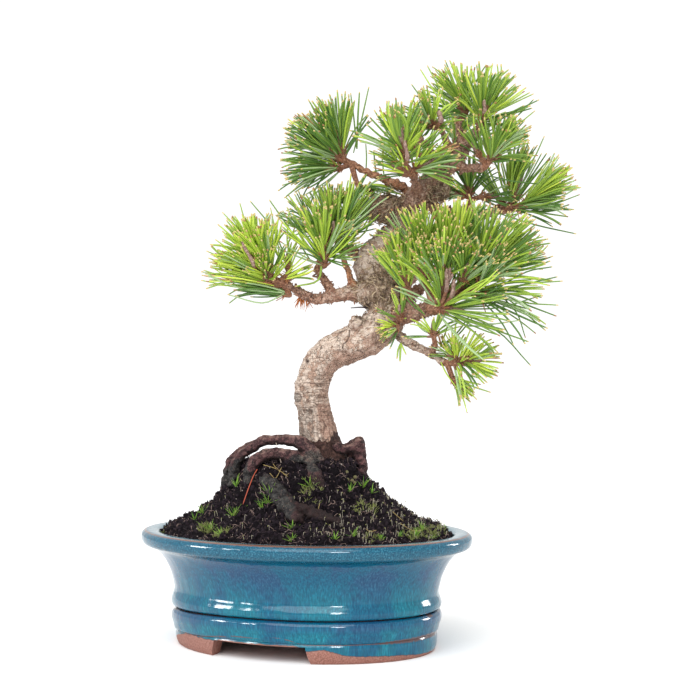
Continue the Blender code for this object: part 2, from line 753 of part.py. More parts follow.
def make_roots(coat, cutters):
    paths = dict(ROOTS)
    for name, plan in CRAWLING_ROOTS.items():
        paths[name] = [
            (x, y, soil_height(x, y) + ROOT_RIDE * radius, radius) for x, y, radius in plan
        ]
    done = []
    for name, stations in paths.items():
        root = limb(name, stations, ROOT_SIDES, ROOT_STEP, rough=0.05)
        for cutter in cutters:
            boolean(root, "DIFFERENCE", "EXACT", other=cutter)
        for earlier in done:
            boolean(root, "DIFFERENCE", "EXACT", other=earlier)
        largest_piece(root)
        finish(root, coat)
        done.append(limb("space_of_" + name, stations, ROOT_SIDES, ROOT_STEP, GAP, 0.05))
    for space in done:
        bpy.data.objects.remove(space)


def make_boughs(coat, trunk_space):
    spaces = {"trunk": trunk_space}
    for name, stations in BOUGHS.items():
        bough = limb(name, stations, BOUGH_SIDES, BOUGH_STEP, rough=0.03)
        for space in spaces.values():
            boolean(bough, "DIFFERENCE", "EXACT", other=space)
        largest_piece(bough)
        finish(bough, coat)
        spaces[name] = limb("space_of_" + name, stations, BOUGH_SIDES, BOUGH_STEP, GAP, 0.03)
    return spaces


# Direction in the picture from a heading and a tilt towards the viewer, in degrees.
def direction(heading, tilt):
    turn = math.radians(heading)
    lean = math.radians(tilt)
    flat = math.cos(lean)
    return Vector((math.cos(turn) * flat, -math.sin(lean), math.sin(turn) * flat))


# Middle, way and radius of the flat end of the trunk or a bough.
def tip_of(limb_name):
    if limb_name == "trunk":
        path = smooth_path(TRUNK, TRUNK_STEP)
    else:
        path = smooth_path(BOUGHS[limb_name], BOUGH_STEP)
    end = Vector(path[-1, :3])
    return end, (end - Vector(path[-2, :3])).normalized(), path[-1, 3]


# One shoot: its foot, way, twig length, reach, spread and rounds of needles.
class Shoot:
    def __init__(self, row):
        x, y, z, heading, tilt, self.twig, self.reach, spread, self.rounds = row
        self.foot = Vector((x, y, z))
        self.way = direction(heading, tilt)
        self.top = self.foot + self.way * self.twig
        self.hub = self.foot + self.way * self.twig * 0.5
        self.spread = math.radians(spread)


# Distance of every point to every straight length, and how far along the length that is.
# A row of lines is a start and an end.
def distances(points, lines):
    spans = lines[:, 3:6] - lines[:, 0:3]
    offsets = points[:, None, :] - lines[None, :, 0:3]
    shares = np.einsum("pls,ls->pl", offsets, spans) / np.einsum("ls,ls->l", spans, spans)
    shares = np.clip(shares, 0.0, 1.0)
    return np.linalg.norm(offsets - shares[:, :, None] * spans[None, :, :], axis=2), shares


# Stations of the twigs of one mass, and the way its stem sets off. The stem starts on the
# limb's tip and ends in the first shoot's foot, and the other twigs fork off inside it.
def twig_stations(mass, limb_name, shoots):
    if mass == "needles_trunk_tuft":
        start = Vector(TUFT_START)
        thick = 0.0018
        way = (shoots[0].foot - start).normalized()
    else:
        end, way, thick = tip_of(limb_name)
        start = end + way * GAP
    fork = start + way * FORK_LENGTH
    paths = [[(*start, thick), (*fork, thick * 0.95)]]
    for shoot in shoots:
        core = (*(shoot.foot + shoot.way * SHOOT_SINK), SHOOT_CORE)
        if shoot is shoots[0]:
            paths[0].append(core)
        else:
            paths.append([(*fork, thick * 0.7), core])
    return paths, way


# The space of every shoot, and the limbs and twigs that needles stay clear of.
class Crown:
    def __init__(self, plans):
        self.shoots = [(mass, shoot) for mass in plans for shoot in plans[mass][0]]
        self.shoot_lines = np.array([(*shoot.foot, *shoot.top) for _, shoot in self.shoots])
        paths = [("trunk", TRUNK, TRUNK_STEP)]
        paths += [(name, stations, BOUGH_STEP) for name, stations in BOUGHS.items()]
        for mass, (_, twigs, _) in plans.items():
            paths += [(mass, stations, TWIG_STEP) for stations in twigs]
        lines = []
        self.owners = []
        for owner, stations, step in paths:
            path = smooth_path(stations, step)
            for a, b in zip(path[:-1], path[1:]):
                lines.append((*a[:3], *b[:3], max(a[3], b[3])))
                self.owners.append(owner)
        for mass, shoot in self.shoots:
            lines.append((*shoot.foot, *shoot.top, SHOOT_RADIUS))
            self.owners.append(mass)
        for (x, y, z), (half_x, half_y, half_z) in KNOBS:
            radius = max(half_y, half_z)
            reach = max(half_x - radius, GAP)
            lines.append((x - reach, y, z, x + reach, y, z, radius))
            self.owners.append("trunk")
        self.lines = np.array(lines)
        self.owners = np.array(self.owners)

        self.masses = np.array([mass for mass, _ in self.shoots])
        self.needles = np.zeros((0, 6))
        self.needle_shoots = np.zeros(0, dtype=int)

    # A needle keeps to the space round its own mass, and clear of limbs and other needles.
    def has_room(self, root, tip, mass, number):
        shares = np.linspace(0.0, 1.0, NEEDLE_TESTS + 1)[1:]
        points = np.array([root.lerp(tip, share) for share in shares])
        away = distances(points, self.shoot_lines)[0]
        rivals = away[:, self.masses != mass]
        if (rivals.min(axis=1) < SPACE_SHARE * away[:, number]).any():
            return False
        apart = distances(points, self.lines)[0] - self.lines[:, 6] - NEEDLE_CLEAR
        if (apart[:, self.owners != mass] < 0.0).any():
            return False
        others = self.needle_shoots != number
        if others.any():
            apart, along = distances(points, self.needles[others])
            thick = NEEDLE_ROOT * (2.0 - shares[:, None] - along)
            same_mass = self.masses[self.needle_shoots[others]] == mass
            room = np.where(same_mass, NEEDLE_BESIDE, NEEDLE_APART)
            if (apart < thick + room).any():
                return False
        self.needles = np.vstack([self.needles, (*root, *tip)])
        self.needle_shoots = np.append(self.needle_shoots, number)
        return True


# The way and length of the needle that grows from one face of a shoot.
def needle_tip(shoot, centre, chance):
    along = (centre - shoot.foot).dot(shoot.way)
    out = (centre - shoot.foot - shoot.way * along).normalized()
    share = max(0.0, min(1.0, along / shoot.twig))
    lean = shoot.spread * (1.10 - 0.95 * share) + chance.uniform(-0.03, 0.03)
    way = shoot.way * math.cos(lean) + out * math.sin(lean)
    length = shoot.reach * chance.uniform(0.92, 1.02)
    drop = centre - shoot.hub
    back = drop.dot(way)
    inside = max(0.0, back * back - drop.length_squared + length * length)
    return centre + way * (math.sqrt(inside) - back)


# A twig with its needles drawn out of its own faces, so that each one is rooted in it.
# Every ring is turned half a side past the last, and two rings have triangles between them.
def shoot_solid(shoot, crown, mass, number, chance):
    side = shoot.way.orthogonal().normalized()
    rings = []
    for i in range(shoot.rounds + 1):
        radius = SHOOT_RADIUS * (1.0 - 0.35 * i / shoot.rounds)
        row = []
        for k in range(SHOOT_SIDES):
            turn = Matrix.Rotation((2 * k + i) * math.pi / SHOOT_SIDES, 3, shoot.way)
            centre = shoot.foot + shoot.way * shoot.twig * i / shoot.rounds
            row.append(centre + turn @ side * radius)
        rings.append(row)
    verts = [point for row in rings for point in row]
    verts.append(shoot.top + shoot.way * BUD_LENGTH)
    bud = len(verts) - 1
    faces = [tuple(reversed(range(SHOOT_SIDES)))]
    triangles = []
    for i in range(shoot.rounds):
        for k in range(SHOOT_SIDES):
            after = (k + 1) % SHOOT_SIDES
            low = i * SHOOT_SIDES
            high = low + SHOOT_SIDES
            triangles.append((low + k, low + after, high + k))
            triangles.append((high + k, low + after, high + after))
    grown = 0
    for triangle in triangles:
        centre = (verts[triangle[0]] + verts[triangle[1]] + verts[triangle[2]]) / 3
        tip = needle_tip(shoot, centre, chance)
        if crown.has_room(centre, tip, mass, number):
            verts.append(tip)
            last = len(verts) - 1
            for k in range(3):
                faces.append((triangle[k], triangle[(k + 1) % 3], last))
            grown += 1
        else:
            faces.append(triangle)
    top = shoot.rounds * SHOOT_SIDES
    for k in range(SHOOT_SIDES):
        faces.append((top + k, top + (k + 1) % SHOOT_SIDES, bud))
    print(mass, grown, "needles of", len(triangles))
    return object_from("shoot", verts, faces)


# The first needles to grow keep their room. A mass is cut back from the limb that bears it,
# as its twigs may turn back beside the limb's end.
def make_masses(coat, limb_spaces):
    plans = {}
    for mass, (limb_name, rows) in MASSES.items():
        shoots = [Shoot(row) for row in rows]
        plans[mass] = (shoots, *twig_stations(mass, limb_name, shoots))
    crown = Crown(plans)
    chance = random.Random(SEED)
    number = 0
    for mass, (shoots, twigs, way) in plans.items():
        group = bpy.data.collections.new("parts_of_" + mass)
        bpy.context.scene.collection.children.link(group)
        stem = limb(mass, twigs[0], TWIG_SIDES, TWIG_STEP, first_way=way)
        pieces = []
        for stations in twigs[1:]:
            pieces.append(limb("twig", stations, TWIG_SIDES, TWIG_STEP))
        for shoot in shoots:
            pieces.append(shoot_solid(shoot, crown, mass, number, chance))
            number += 1
        for piece in pieces:
            bpy.context.scene.collection.objects.unlink(piece)
            group.objects.link(piece)
        boolean(stem, "UNION", "EXACT", group=group)
        for piece in pieces:
            bpy.data.objects.remove(piece)
        bpy.data.collections.remove(group)
        if mass != "needles_top":
            boolean(stem, "DIFFERENCE", "EXACT", other=limb_spaces[MASSES[mass][0]])
        largest_piece(stem)
        finish(stem, coat)


# Puts the middle of the whole part's box over the origin, with its feet at height 0.
def stand_on_origin():
    made = [thing for thing in bpy.data.objects if thing.type == "MESH"]
    corners = np.array([tuple(vert.co) for thing in made for vert in thing.data.vertices])
    low = corners.min(axis=0)
    high = corners.max(axis=0)
    shift = Vector((-(low[0] + high[0]) / 2, -(low[1] + high[1]) / 2, -low[2]))
    for thing in made:
        thing.data.transform(Matrix.Translation(shift))
    foot = Matrix.Rotation(POT_TURN, 3, "Z") @ Vector(((FOOT_INSIDE + FOOT_OUTSIDE) / 2, 0.0, 0.0))
    print("centre of the pot", tuple(round(v, 5) for v in shift))
    print("middle of the right foot", tuple(round(v, 5) for v in foot + shift))


def main():
    clear_scene()
    glaze = material("teal_glaze", (0.02, 0.17, 0.27), 0.15)
    peat = material("peat", (0.02, 0.015, 0.01), 0.9)
    bark = material("bark", (0.38, 0.28, 0.21), 0.85)
    young_bark = material("young_bark", (0.30, 0.16, 0.09), 0.8)
    root_bark = material("root_bark", (0.09, 0.05, 0.04), 0.8)
    needle_green = material("needle_green", (0.14, 0.30, 0.03), 0.5)
    make_pot(glaze)
    make_soil(peat)
    trunk_space = trunk_solid("trunk_space", GAP)
    soil_space = make_soil(peat, GAP)
    trunk = trunk_solid("trunk")
    finish(trunk, bark)
    make_roots(root_bark, [trunk_space, soil_space])
    limb_spaces = make_boughs(young_bark, trunk_space)
    make_masses(needle_green, limb_spaces)
    for space in (*limb_spaces.values(), soil_space):
        bpy.data.objects.remove(space)
    stand_on_origin()


main()
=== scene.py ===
# Japanese black pine bonsai in an oval glazed pot: the looks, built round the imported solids.
# Metres, +Z up, and the camera looks along +Y. A place written here is measured from the
# middle of the pot, on the plane that its foot stands on.

import math

import bmesh
import bpy
import numpy as np
from mathutils import Matrix, Vector, noise
from mathutils.bvhtree import BVHTree


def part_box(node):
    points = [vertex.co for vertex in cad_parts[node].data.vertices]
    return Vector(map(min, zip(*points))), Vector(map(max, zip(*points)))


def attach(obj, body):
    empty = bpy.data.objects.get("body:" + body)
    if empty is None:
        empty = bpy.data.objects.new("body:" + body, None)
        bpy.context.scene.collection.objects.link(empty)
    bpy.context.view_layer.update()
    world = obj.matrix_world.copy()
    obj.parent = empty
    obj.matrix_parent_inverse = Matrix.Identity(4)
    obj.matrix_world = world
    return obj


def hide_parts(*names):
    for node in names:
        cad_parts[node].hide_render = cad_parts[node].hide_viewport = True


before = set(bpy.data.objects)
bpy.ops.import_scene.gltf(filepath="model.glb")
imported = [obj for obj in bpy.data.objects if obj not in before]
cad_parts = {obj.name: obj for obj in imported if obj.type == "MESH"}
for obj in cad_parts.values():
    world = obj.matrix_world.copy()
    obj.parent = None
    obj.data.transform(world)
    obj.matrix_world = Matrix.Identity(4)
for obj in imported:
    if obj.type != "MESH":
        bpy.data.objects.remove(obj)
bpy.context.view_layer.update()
potLow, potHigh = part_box("pot")
potCentre = Vector(((potLow.x + potHigh.x) / 2, (potLow.y + potHigh.y) / 2, 0.0))
centreShift = np.array(potCentre)
print("frame loaded, pot centre", tuple(round(v, 4) for v in potCentre))


def linearColour(hexColour):
    channels = [int(hexColour[k:k + 2], 16) / 255 for k in (1, 3, 5)]
    return (*[c / 12.92 if c <= 0.04045 else ((c + 0.055) / 1.055) ** 2.4 for c in channels], 1.0)


# Adds a node: values go on its sockets, links join sockets, and the rest are its settings.
def addNode(tree, kind, values=None, links=None, **settings):
    node = tree.nodes.new(kind)
    for name, value in settings.items():
        setattr(node, name, value)
    for name, value in (values or {}).items():
        node.inputs[name].default_value = value
    for name, source in (links or {}).items():
        tree.links.new(source, node.inputs[name])
    return node


def newMaterial(name):
    made = bpy.data.materials.new(name)
    made.use_nodes = True
    tree = made.node_tree
    return made, tree, tree.nodes["Principled BSDF"]


# Colours at places along 0 to 1, driven by one number.
def colourRamp(tree, factor, stops):
    ramp = addNode(tree, "ShaderNodeValToRGB", links={"Fac": factor})
    points = ramp.color_ramp.elements
    while len(points) < len(stops):
        points.new(0.5)
    for point, (place, hexColour) in zip(points, stops):
        point.position = place
        point.color = linearColour(hexColour)
    return ramp.outputs["Color"]


def placeCoordinates(tree, scale):
    spot = addNode(tree, "ShaderNodeTexCoord")
    return addNode(tree, "ShaderNodeMapping", {"Scale": scale}, {"Vector": spot.outputs["Object"]}).outputs[0]


def noiseNode(tree, scale, size, detail=3.0, roughness=0.55):
    links = {"Vector": placeCoordinates(tree, scale)}
    values = {"Scale": 1.0 / size, "Detail": detail, "Roughness": roughness}
    return addNode(tree, "ShaderNodeTexNoise", values, links).outputs["Fac"]


def attributeNode(tree, name):
    return addNode(tree, "ShaderNodeAttribute", attribute_name=name).outputs["Fac"]


def mathNode(tree, operation, first, second, clamp=False):
    node = addNode(tree, "ShaderNodeMath", operation=operation, use_clamp=clamp)
    for k, value in enumerate((first, second)):
        if isinstance(value, (int, float)):
            node.inputs[k].default_value = value
        else:
            tree.links.new(value, node.inputs[k])
    return node.outputs[0]


# Runs from 0 to 1 while the number goes from low to high.
def between(tree, value, low, high):
    node = addNode(tree, "ShaderNodeMapRange", {"From Min": low, "From Max": high}, {"Value": value})
    node.interpolation_type = "SMOOTHSTEP"
    return node.outputs["Result"]


# Fine cracks along the borders of warped cells, broken up so that they come and go.
def crackNode(tree, scale, size, width, broken):
    warp = addNode(tree, "ShaderNodeTexNoise", {"Scale": 1.6 / size, "Detail": 2.0}, {"Vector": placeCoordinates(tree, (1, 1, 1))})
    spot = addNode(tree, "ShaderNodeVectorMath", {"Scale": size * 0.8}, {"Vector": warp.outputs["Color"]}, operation="SCALE")
    spot = addNode(tree, "ShaderNodeVectorMath", links={0: placeCoordinates(tree, scale), 1: spot.outputs[0]}, operation="ADD")
    cells = addNode(tree, "ShaderNodeTexVoronoi", {"Scale": 1.0 / size}, {"Vector": spot.outputs[0]}, feature="DISTANCE_TO_EDGE")
    kept = between(tree, noiseNode(tree, (1.0, 1.0, 1.0), size * 1.7, 2.0), broken, broken + 0.10)
    return mathNode(tree, "MULTIPLY", between(tree, cells.outputs["Distance"], width, 0.0), kept)


def mixColours(tree, factor, first, second):
    node = addNode(tree, "ShaderNodeMix", data_type="RGBA")
    for k, value in ((0, factor), (6, first), (7, second)):
        if isinstance(value, str):
            node.inputs[k].default_value = linearColour(value)
        else:
            tree.links.new(value, node.inputs[k])
    return node.outputs[2]


def addBump(tree, shader, height, distance, strength=1.0):
    links = {"Height": height}
    bump = addNode(tree, "ShaderNodeBump", {"Distance": distance, "Strength": strength}, links)
    tree.links.new(bump.outputs["Normal"], shader.inputs["Normal"])


def meshObject(name, verts, faces, edges=()):
    mesh = bpy.data.meshes.new(name)
    mesh.from_pydata(verts, edges, faces)
    made = bpy.data.objects.new(name, mesh)
    bpy.context.scene.collection.objects.link(made)
    return made


# The mesh as its modifiers leave it, put on the object in their place.
def applyModifiers(piece):
    state = bpy.context.evaluated_depsgraph_get()
    result = bpy.data.meshes.new_from_object(piece.evaluated_get(state))
    piece.modifiers.clear()
    piece.data = result


def dressPiece(piece, coat, slotName, *nodes):
    if coat is not None:
        piece.data.materials.clear()
        piece.data.materials.append(coat)
    piece.data.shade_smooth()
    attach(piece, "root")
    if nodes:
        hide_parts(*nodes)


def setValues(piece, name, values):
    layer = piece.data.attributes.new(name, "FLOAT", "POINT")
    layer.data.foreach_set("value", np.asarray(values, np.float32))


def pointsOf(mesh):
    flat = np.zeros(len(mesh.vertices) * 3, np.float32)
    mesh.vertices.foreach_get("co", flat)
    return flat.reshape(-1, 3).astype(float)


def normalsOf(mesh):
    flat = np.zeros(len(mesh.vertices) * 3, np.float32)
    mesh.vertices.foreach_get("normal", flat)
    return flat.reshape(-1, 3).astype(float)


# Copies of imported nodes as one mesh, grown by a little so that they meet, and remade in even faces.
def remeshedNodes(name, nodeNames, voxel, grow, smoothing):
    shape = bmesh.new()
    for nodeName in nodeNames:
        part = bmesh.new()
        part.from_mesh(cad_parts[nodeName].data)
        bmesh.ops.remove_doubles(part, verts=part.verts, dist=1e-6)
        part.normal_update()
        for vert in part.verts:
            vert.co += vert.normal * grow
        copy = bpy.data.meshes.new("copy")
        part.to_mesh(copy)
        part.free()
        shape.from_mesh(copy)
        bpy.data.meshes.remove(copy)
    made = meshObject(name, [], [])
    shape.to_mesh(made.data)
    shape.free()
    remesh = made.modifiers.new("even", "REMESH")
    remesh.mode = "VOXEL"
    remesh.voxel_size = voxel
    if smoothing:
        smooth = made.modifiers.new("smooth", "SMOOTH")
        smooth.factor = 0.5
        smooth.iterations = smoothing
    applyModifiers(made)
    return made


# A smooth line through rows of numbers, such as x, y, z and girth.
def smoothLine(stations, perStation=6):
    rows = np.array(stations, float)
    padded = np.vstack([2 * rows[0] - rows[1], rows, 2 * rows[-1] - rows[-2]])
    fine = []
    for k in range(len(rows) - 1):
        a, b, c, d = padded[k:k + 4]
        for t in np.linspace(0.0, 1.0, perStation, endpoint=False):
            fine.append((2 * b + (c - a) * t + (2 * a - 5 * b + 4 * c - d) * t ** 2 + (3 * b - a - 3 * c + d) * t ** 3) / 2)
    return np.vstack([fine, rows[-1]])


# Camera and light

view = {
    "away": 0.945,         # from the pot's middle to the lens
    "height": 0.172,
    "toTheRight": 0.0264,
    "lens": 83.0,
}


def makeCamera():
    camera = bpy.data.cameras.new("camera")
    camera.sensor_width = 36.0
    camera.lens = view["lens"]
    camera.clip_end = 20.0
    holder = bpy.data.objects.new("camera", camera)
    bpy.context.scene.collection.objects.link(holder)
    holder.location = potCentre + Vector((view["toTheRight"], -view["away"], view["height"]))
    holder.rotation_euler = (math.radians(90.0), 0.0, 0.0)
    bpy.context.scene.camera = holder


studio = {
    "floorHalf": 4.0,
    "floorColour": "#fdfdfd",
    "backdrop": 1.10,      # white surround as the camera sees it
    "fill": 1.00,          # the same surround as a light
    "sunPower": 2.35,       # one broad soft light from the upper left
    "sunSpread": 56.0,
    "sunFrom": (-0.24, -0.72, 0.88),
    "boxes": [   # place from the pot's middle, width, height, watts: they show as reflections only
        ((-1.35, -0.26, 0.40), 0.30, 0.34, 11.0),
        ((-1.20, -0.75, 0.50), 0.13, 0.30, 4.0),
        ((0.16, -1.70, 0.62), 0.26, 0.26, 7.5),
        ((1.29, 0.47, 0.45), 0.28, 0.40, 10.0),
    ],
    "aim": (0.0, 0.0, 0.06),
}


def placeLamp(lamp, place):
    holder = bpy.data.objects.new(lamp.name, lamp)
    bpy.context.scene.collection.objects.link(holder)
    holder.location = potCentre + Vector(place)
    holder.rotation_euler = (Vector(studio["aim"]) - Vector(place)).to_track_quat("-Z", "Y").to_euler()
    return holder


def makeStudio():
    half = studio["floorHalf"]
    corners = [(-half, -half, 0), (half, -half, 0), (half, half, 0), (-half, half, 0)]
    floor = meshObject("floor", corners, [(0, 1, 2, 3)])
    paper, _, shader = newMaterial("matteWhitePaper")
    shader.inputs["Base Color"].default_value = linearColour(studio["floorColour"])
    shader.inputs["Roughness"].default_value = 0.9
    floor.data.materials.append(paper)
    world = bpy.data.worlds.new("paleStudio")
    world.use_nodes = True
    bpy.context.scene.world = world
    tree = world.node_tree
    back = tree.nodes["Background"]
    back.inputs["Color"].default_value = (1.0, 1.0, 1.0, 1.0)
    seen = addNode(tree, "ShaderNodeLightPath").outputs["Is Camera Ray"]
    strengths = {"To Min": studio["fill"], "To Max": studio["backdrop"]}
    strength = addNode(tree, "ShaderNodeMapRange", strengths, {"Value": seen})
    tree.links.new(strength.outputs["Result"], back.inputs["Strength"])
    bpy.context.scene.view_settings.view_transform = "Standard"
    sun = bpy.data.lights.new("broadLight", "SUN")
    sun.energy = studio["sunPower"]
    sun.angle = math.radians(studio["sunSpread"])
    placeLamp(sun, studio["sunFrom"])
    for place, width, height, power in studio["boxes"]:
        lamp = bpy.data.lights.new("softbox", "AREA")
        lamp.shape = "RECTANGLE"
        lamp.size = width
        lamp.size_y = height
        lamp.energy = power
        placeLamp(lamp, place).visible_diffuse = False


makeCamera()
makeStudio()
print("camera and studio made")


# Pot

pot = {
    "length": 0.200,
    "width": 0.163,
    "turn": -25.0,
    "around": 176,
    "footGapHalf": 0.0285,   # half-width of the cut-outs, front and back
    "footGapSlant": 0.0035,
    "footGapTop": 0.0095,
    "drainRadius": 0.0065,
    "drainPlace": 0.034,
    # Round the pot in degrees from its right end: how far its beads hang, the height of the
    # glaze's lower edge, and the height and half-width of the brown line under the lower bead.
    "droop": ([0, 100, 150, 201, 215, 229, 248, 262, 360], [0, 0, 30, 34, 19, 14, 4, 0, 0]),
    "glazeEdge": (
        [0, 5, 20, 50, 64, 66, 114, 116, 150, 180, 200, 210, 220, 227, 234, 245, 247, 293, 295, 298, 305, 310, 316, 325, 340, 350, 360],
        [14, 12, 25, 55, 72, 99, 99, 85, 60, 40, 35, 65, 90, 93, 88, 88, 99, 99, 74, 69, 83, 65, 46, 40, 32, 20, 14],
    ),
    "brownLine": (
        [0, 10, 20, 60, 180, 200, 215, 235, 255, 285, 291, 295, 328, 334, 345, 360],
        [112, 110, 109, 108, 108, 106, 110, 114, 130, 141, 125, 108, 108, 109, 111, 112],
        [24, 18, 6, 4, 4, 4, 5, 5, 6, 5, 4, 4, 5, 12, 20, 24],
    ),
}


# Half-length and height of each ring, from the inside over the rim and down to the foot.
def potProfile():
    inside = [(0.0710, 0.0145), (0.0742, 0.0165), (0.0750, 0.0195), (0.0760, 0.0360), (0.0800, 0.0460)]
    inside += [(0.0838, 0.0530), (0.0872, 0.0600), (0.0888, 0.0640), (0.0893, 0.0653)]
    rim = [(0.0899, 0.0661), (0.0912, 0.0666), (0.0935, 0.0668), (0.0955, 0.0668), (0.0968, 0.0667), (0.0976, 0.0665)]
    rim += [(0.0985, 0.0661), (0.0993, 0.0655), (0.0999, 0.0645), (0.1001, 0.0634), (0.1000, 0.0622), (0.0996, 0.0606)]
    rim += [(0.0989, 0.0594), (0.0977, 0.0585), (0.0962, 0.0580), (0.0950, 0.0576)]
    wall = [(0.0930, 0.0569), (0.0908, 0.0553), (0.0889, 0.0533), (0.0872, 0.0512), (0.0858, 0.0490)]
    wall += [(0.0845, 0.0465), (0.0833, 0.0440), (0.0824, 0.0415), (0.0816, 0.0385), (0.0809, 0.0355)]
    beads = [(0.0806, 0.0340), (0.0806, 0.0328), (0.0809, 0.0316), (0.0814, 0.0304), (0.0819, 0.0290), (0.0822, 0.0276)]
    beads += [(0.0821, 0.0262), (0.0816, 0.0250), (0.0807, 0.0242), (0.0797, 0.0239), (0.0791, 0.0238), (0.0796, 0.0235)]
    beads += [(0.0807, 0.0231), (0.0817, 0.0221), (0.0822, 0.0207), (0.0822, 0.0191), (0.0818, 0.0172), (0.0811, 0.0152)]
    beads = [tuple(row) for row in smoothLine(beads + [(0.0804, 0.0124), (0.0797, 0.0114), (0.0791, 0.0108)], 3)]
    foot = [(0.0794, 0.0100), (0.0796, 0.0092), (0.0797, 0.0084), (0.0797, 0.0076), (0.0797, 0.0068), (0.0796, 0.0060)]
    foot += [(0.0796, 0.0052), (0.0795, 0.0044), (0.0794, 0.0036), (0.0792, 0.0028), (0.0789, 0.0020), (0.0785, 0.0010)]
    foot += [(0.0781, 0.0004), (0.0774, 0.0), (0.0715, 0.0), (0.0703, 0.0008), (0.0698, 0.0030), (0.0692, 0.0085)]
    return inside + rim + wall + beads + foot


# Reads a row of the pot's dictionary round the pot. The rows are in tenths of a millimetre.
def roundThePot(degrees, row, which=1):
    return np.interp(degrees % 360, pot[row][0], pot[row][which]) * 0.0001


def ovalRing(halfLength, height, sides):
    halfWidth = halfLength - (pot["length"] - pot["width"]) / 2
    turn = math.radians(pot["turn"])
    angles = np.linspace(0.0, 2 * math.pi, sides, endpoint=False)
    x = halfLength * np.cos(angles)
    y = halfWidth * np.sin(angles)
    points = np.column_stack([x * math.cos(turn) - y * math.sin(turn), x * math.sin(turn) + y * math.cos(turn)])
    hang = 0.0
    if halfLength > 0.078:
        share = np.interp(height, [0.004, 0.0113, 0.0237, 0.0276, 0.036], [0.0, 1.2, 1.0, 0.5, 0.0])
        hang = roundThePot(np.degrees(angles), "droop") * share
    return np.column_stack([points, np.full(sides, height) - hang]) + centreShift


# Closed skin through rings of points, with a flat cap on its first and last ring.
def ringSkin(name, rings):
    sides = len(rings[0])
    verts = [tuple(point) for ring in rings for point in ring]
    faces = [tuple(range(sides)), tuple(range(len(verts) - sides, len(verts)))]
    for level in range(len(rings) - 1):
        for k in range(sides):
            after = (k + 1) % sides
            low = level * sides
            faces.append((low + k, low + after, low + sides + after, low + sides + k))
    made = meshObject(name, verts, faces)
    faceOutward(made)
    return made


def faceOutward(made):
    shape = bmesh.new()
    shape.from_mesh(made.data)
    bmesh.ops.recalc_face_normals(shape, faces=shape.faces)
    shape.to_mesh(made.data)
    shape.free()


def cutAway(piece, cutter):
    cut = piece.modifiers.new("cut", "BOOLEAN")
    cut.operation = "DIFFERENCE"
    cut.object = cutter
    applyModifiers(piece)
    bpy.data.objects.remove(cutter)


def gapCutter(side):
    near, far, low = 0.046 * side, 0.078 * side, -0.004
    halfTop = pot["footGapHalf"]
    halfLow = halfTop + pot["footGapSlant"]
    corners = [(-halfLow, near, low), (halfLow, near, low), (halfLow, far, low), (-halfLow, far, low)]
    top = pot["footGapTop"]
    corners += [(-halfTop, near, top), (halfTop, near, top), (halfTop, far, top), (-halfTop, far, top)]
    turn = Matrix.Rotation(math.radians(pot["turn"]), 3, "Z")
    faces = [(0, 1, 2, 3), (4, 5, 6, 7), (0, 1, 5, 4), (1, 2, 6, 5), (2, 3, 7, 6), (3, 0, 4, 7)]
    made = meshObject("cutter", [tuple(turn @ Vector(c) + potCentre) for c in corners], faces)
    faceOutward(made)
    return made


def drainCutter(place):
    centre = Matrix.Rotation(math.radians(pot["turn"]), 3, "Z") @ Vector((place, 0.0, 0.0)) + potCentre
    angles = np.linspace(0.0, 2 * math.pi, 32, endpoint=False)
    rings = []
    for height in (0.004, 0.020):
        ring = np.column_stack([np.cos(angles), np.sin(angles), np.zeros(32)]) * pot["drainRadius"]
        rings.append(ring + np.array([centre.x, centre.y, height]))
    return ringSkin("cutter", rings)


# How far out each point stands, as a share of the rim's outermost ring, and its angle round
# the pot in degrees.
def ovalShare(points):
    turn = math.radians(-pot["turn"])
    x = points[:, 0] - centreShift[0]
    y = points[:, 1] - centreShift[1]
    along = x * math.cos(turn) - y * math.sin(turn)
    across = x * math.sin(turn) + y * math.cos(turn)
    narrower = (pot["length"] - pot["width"]) / 2
    ring = np.full(len(points), pot["length"] / 2)
    for _ in range(12):
        ring = np.maximum(ring * np.hypot(along / ring, across / (ring - narrower)), 0.03)
    return ring / (pot["length"] / 2), np.degrees(np.arctan2(across, along)) % 360


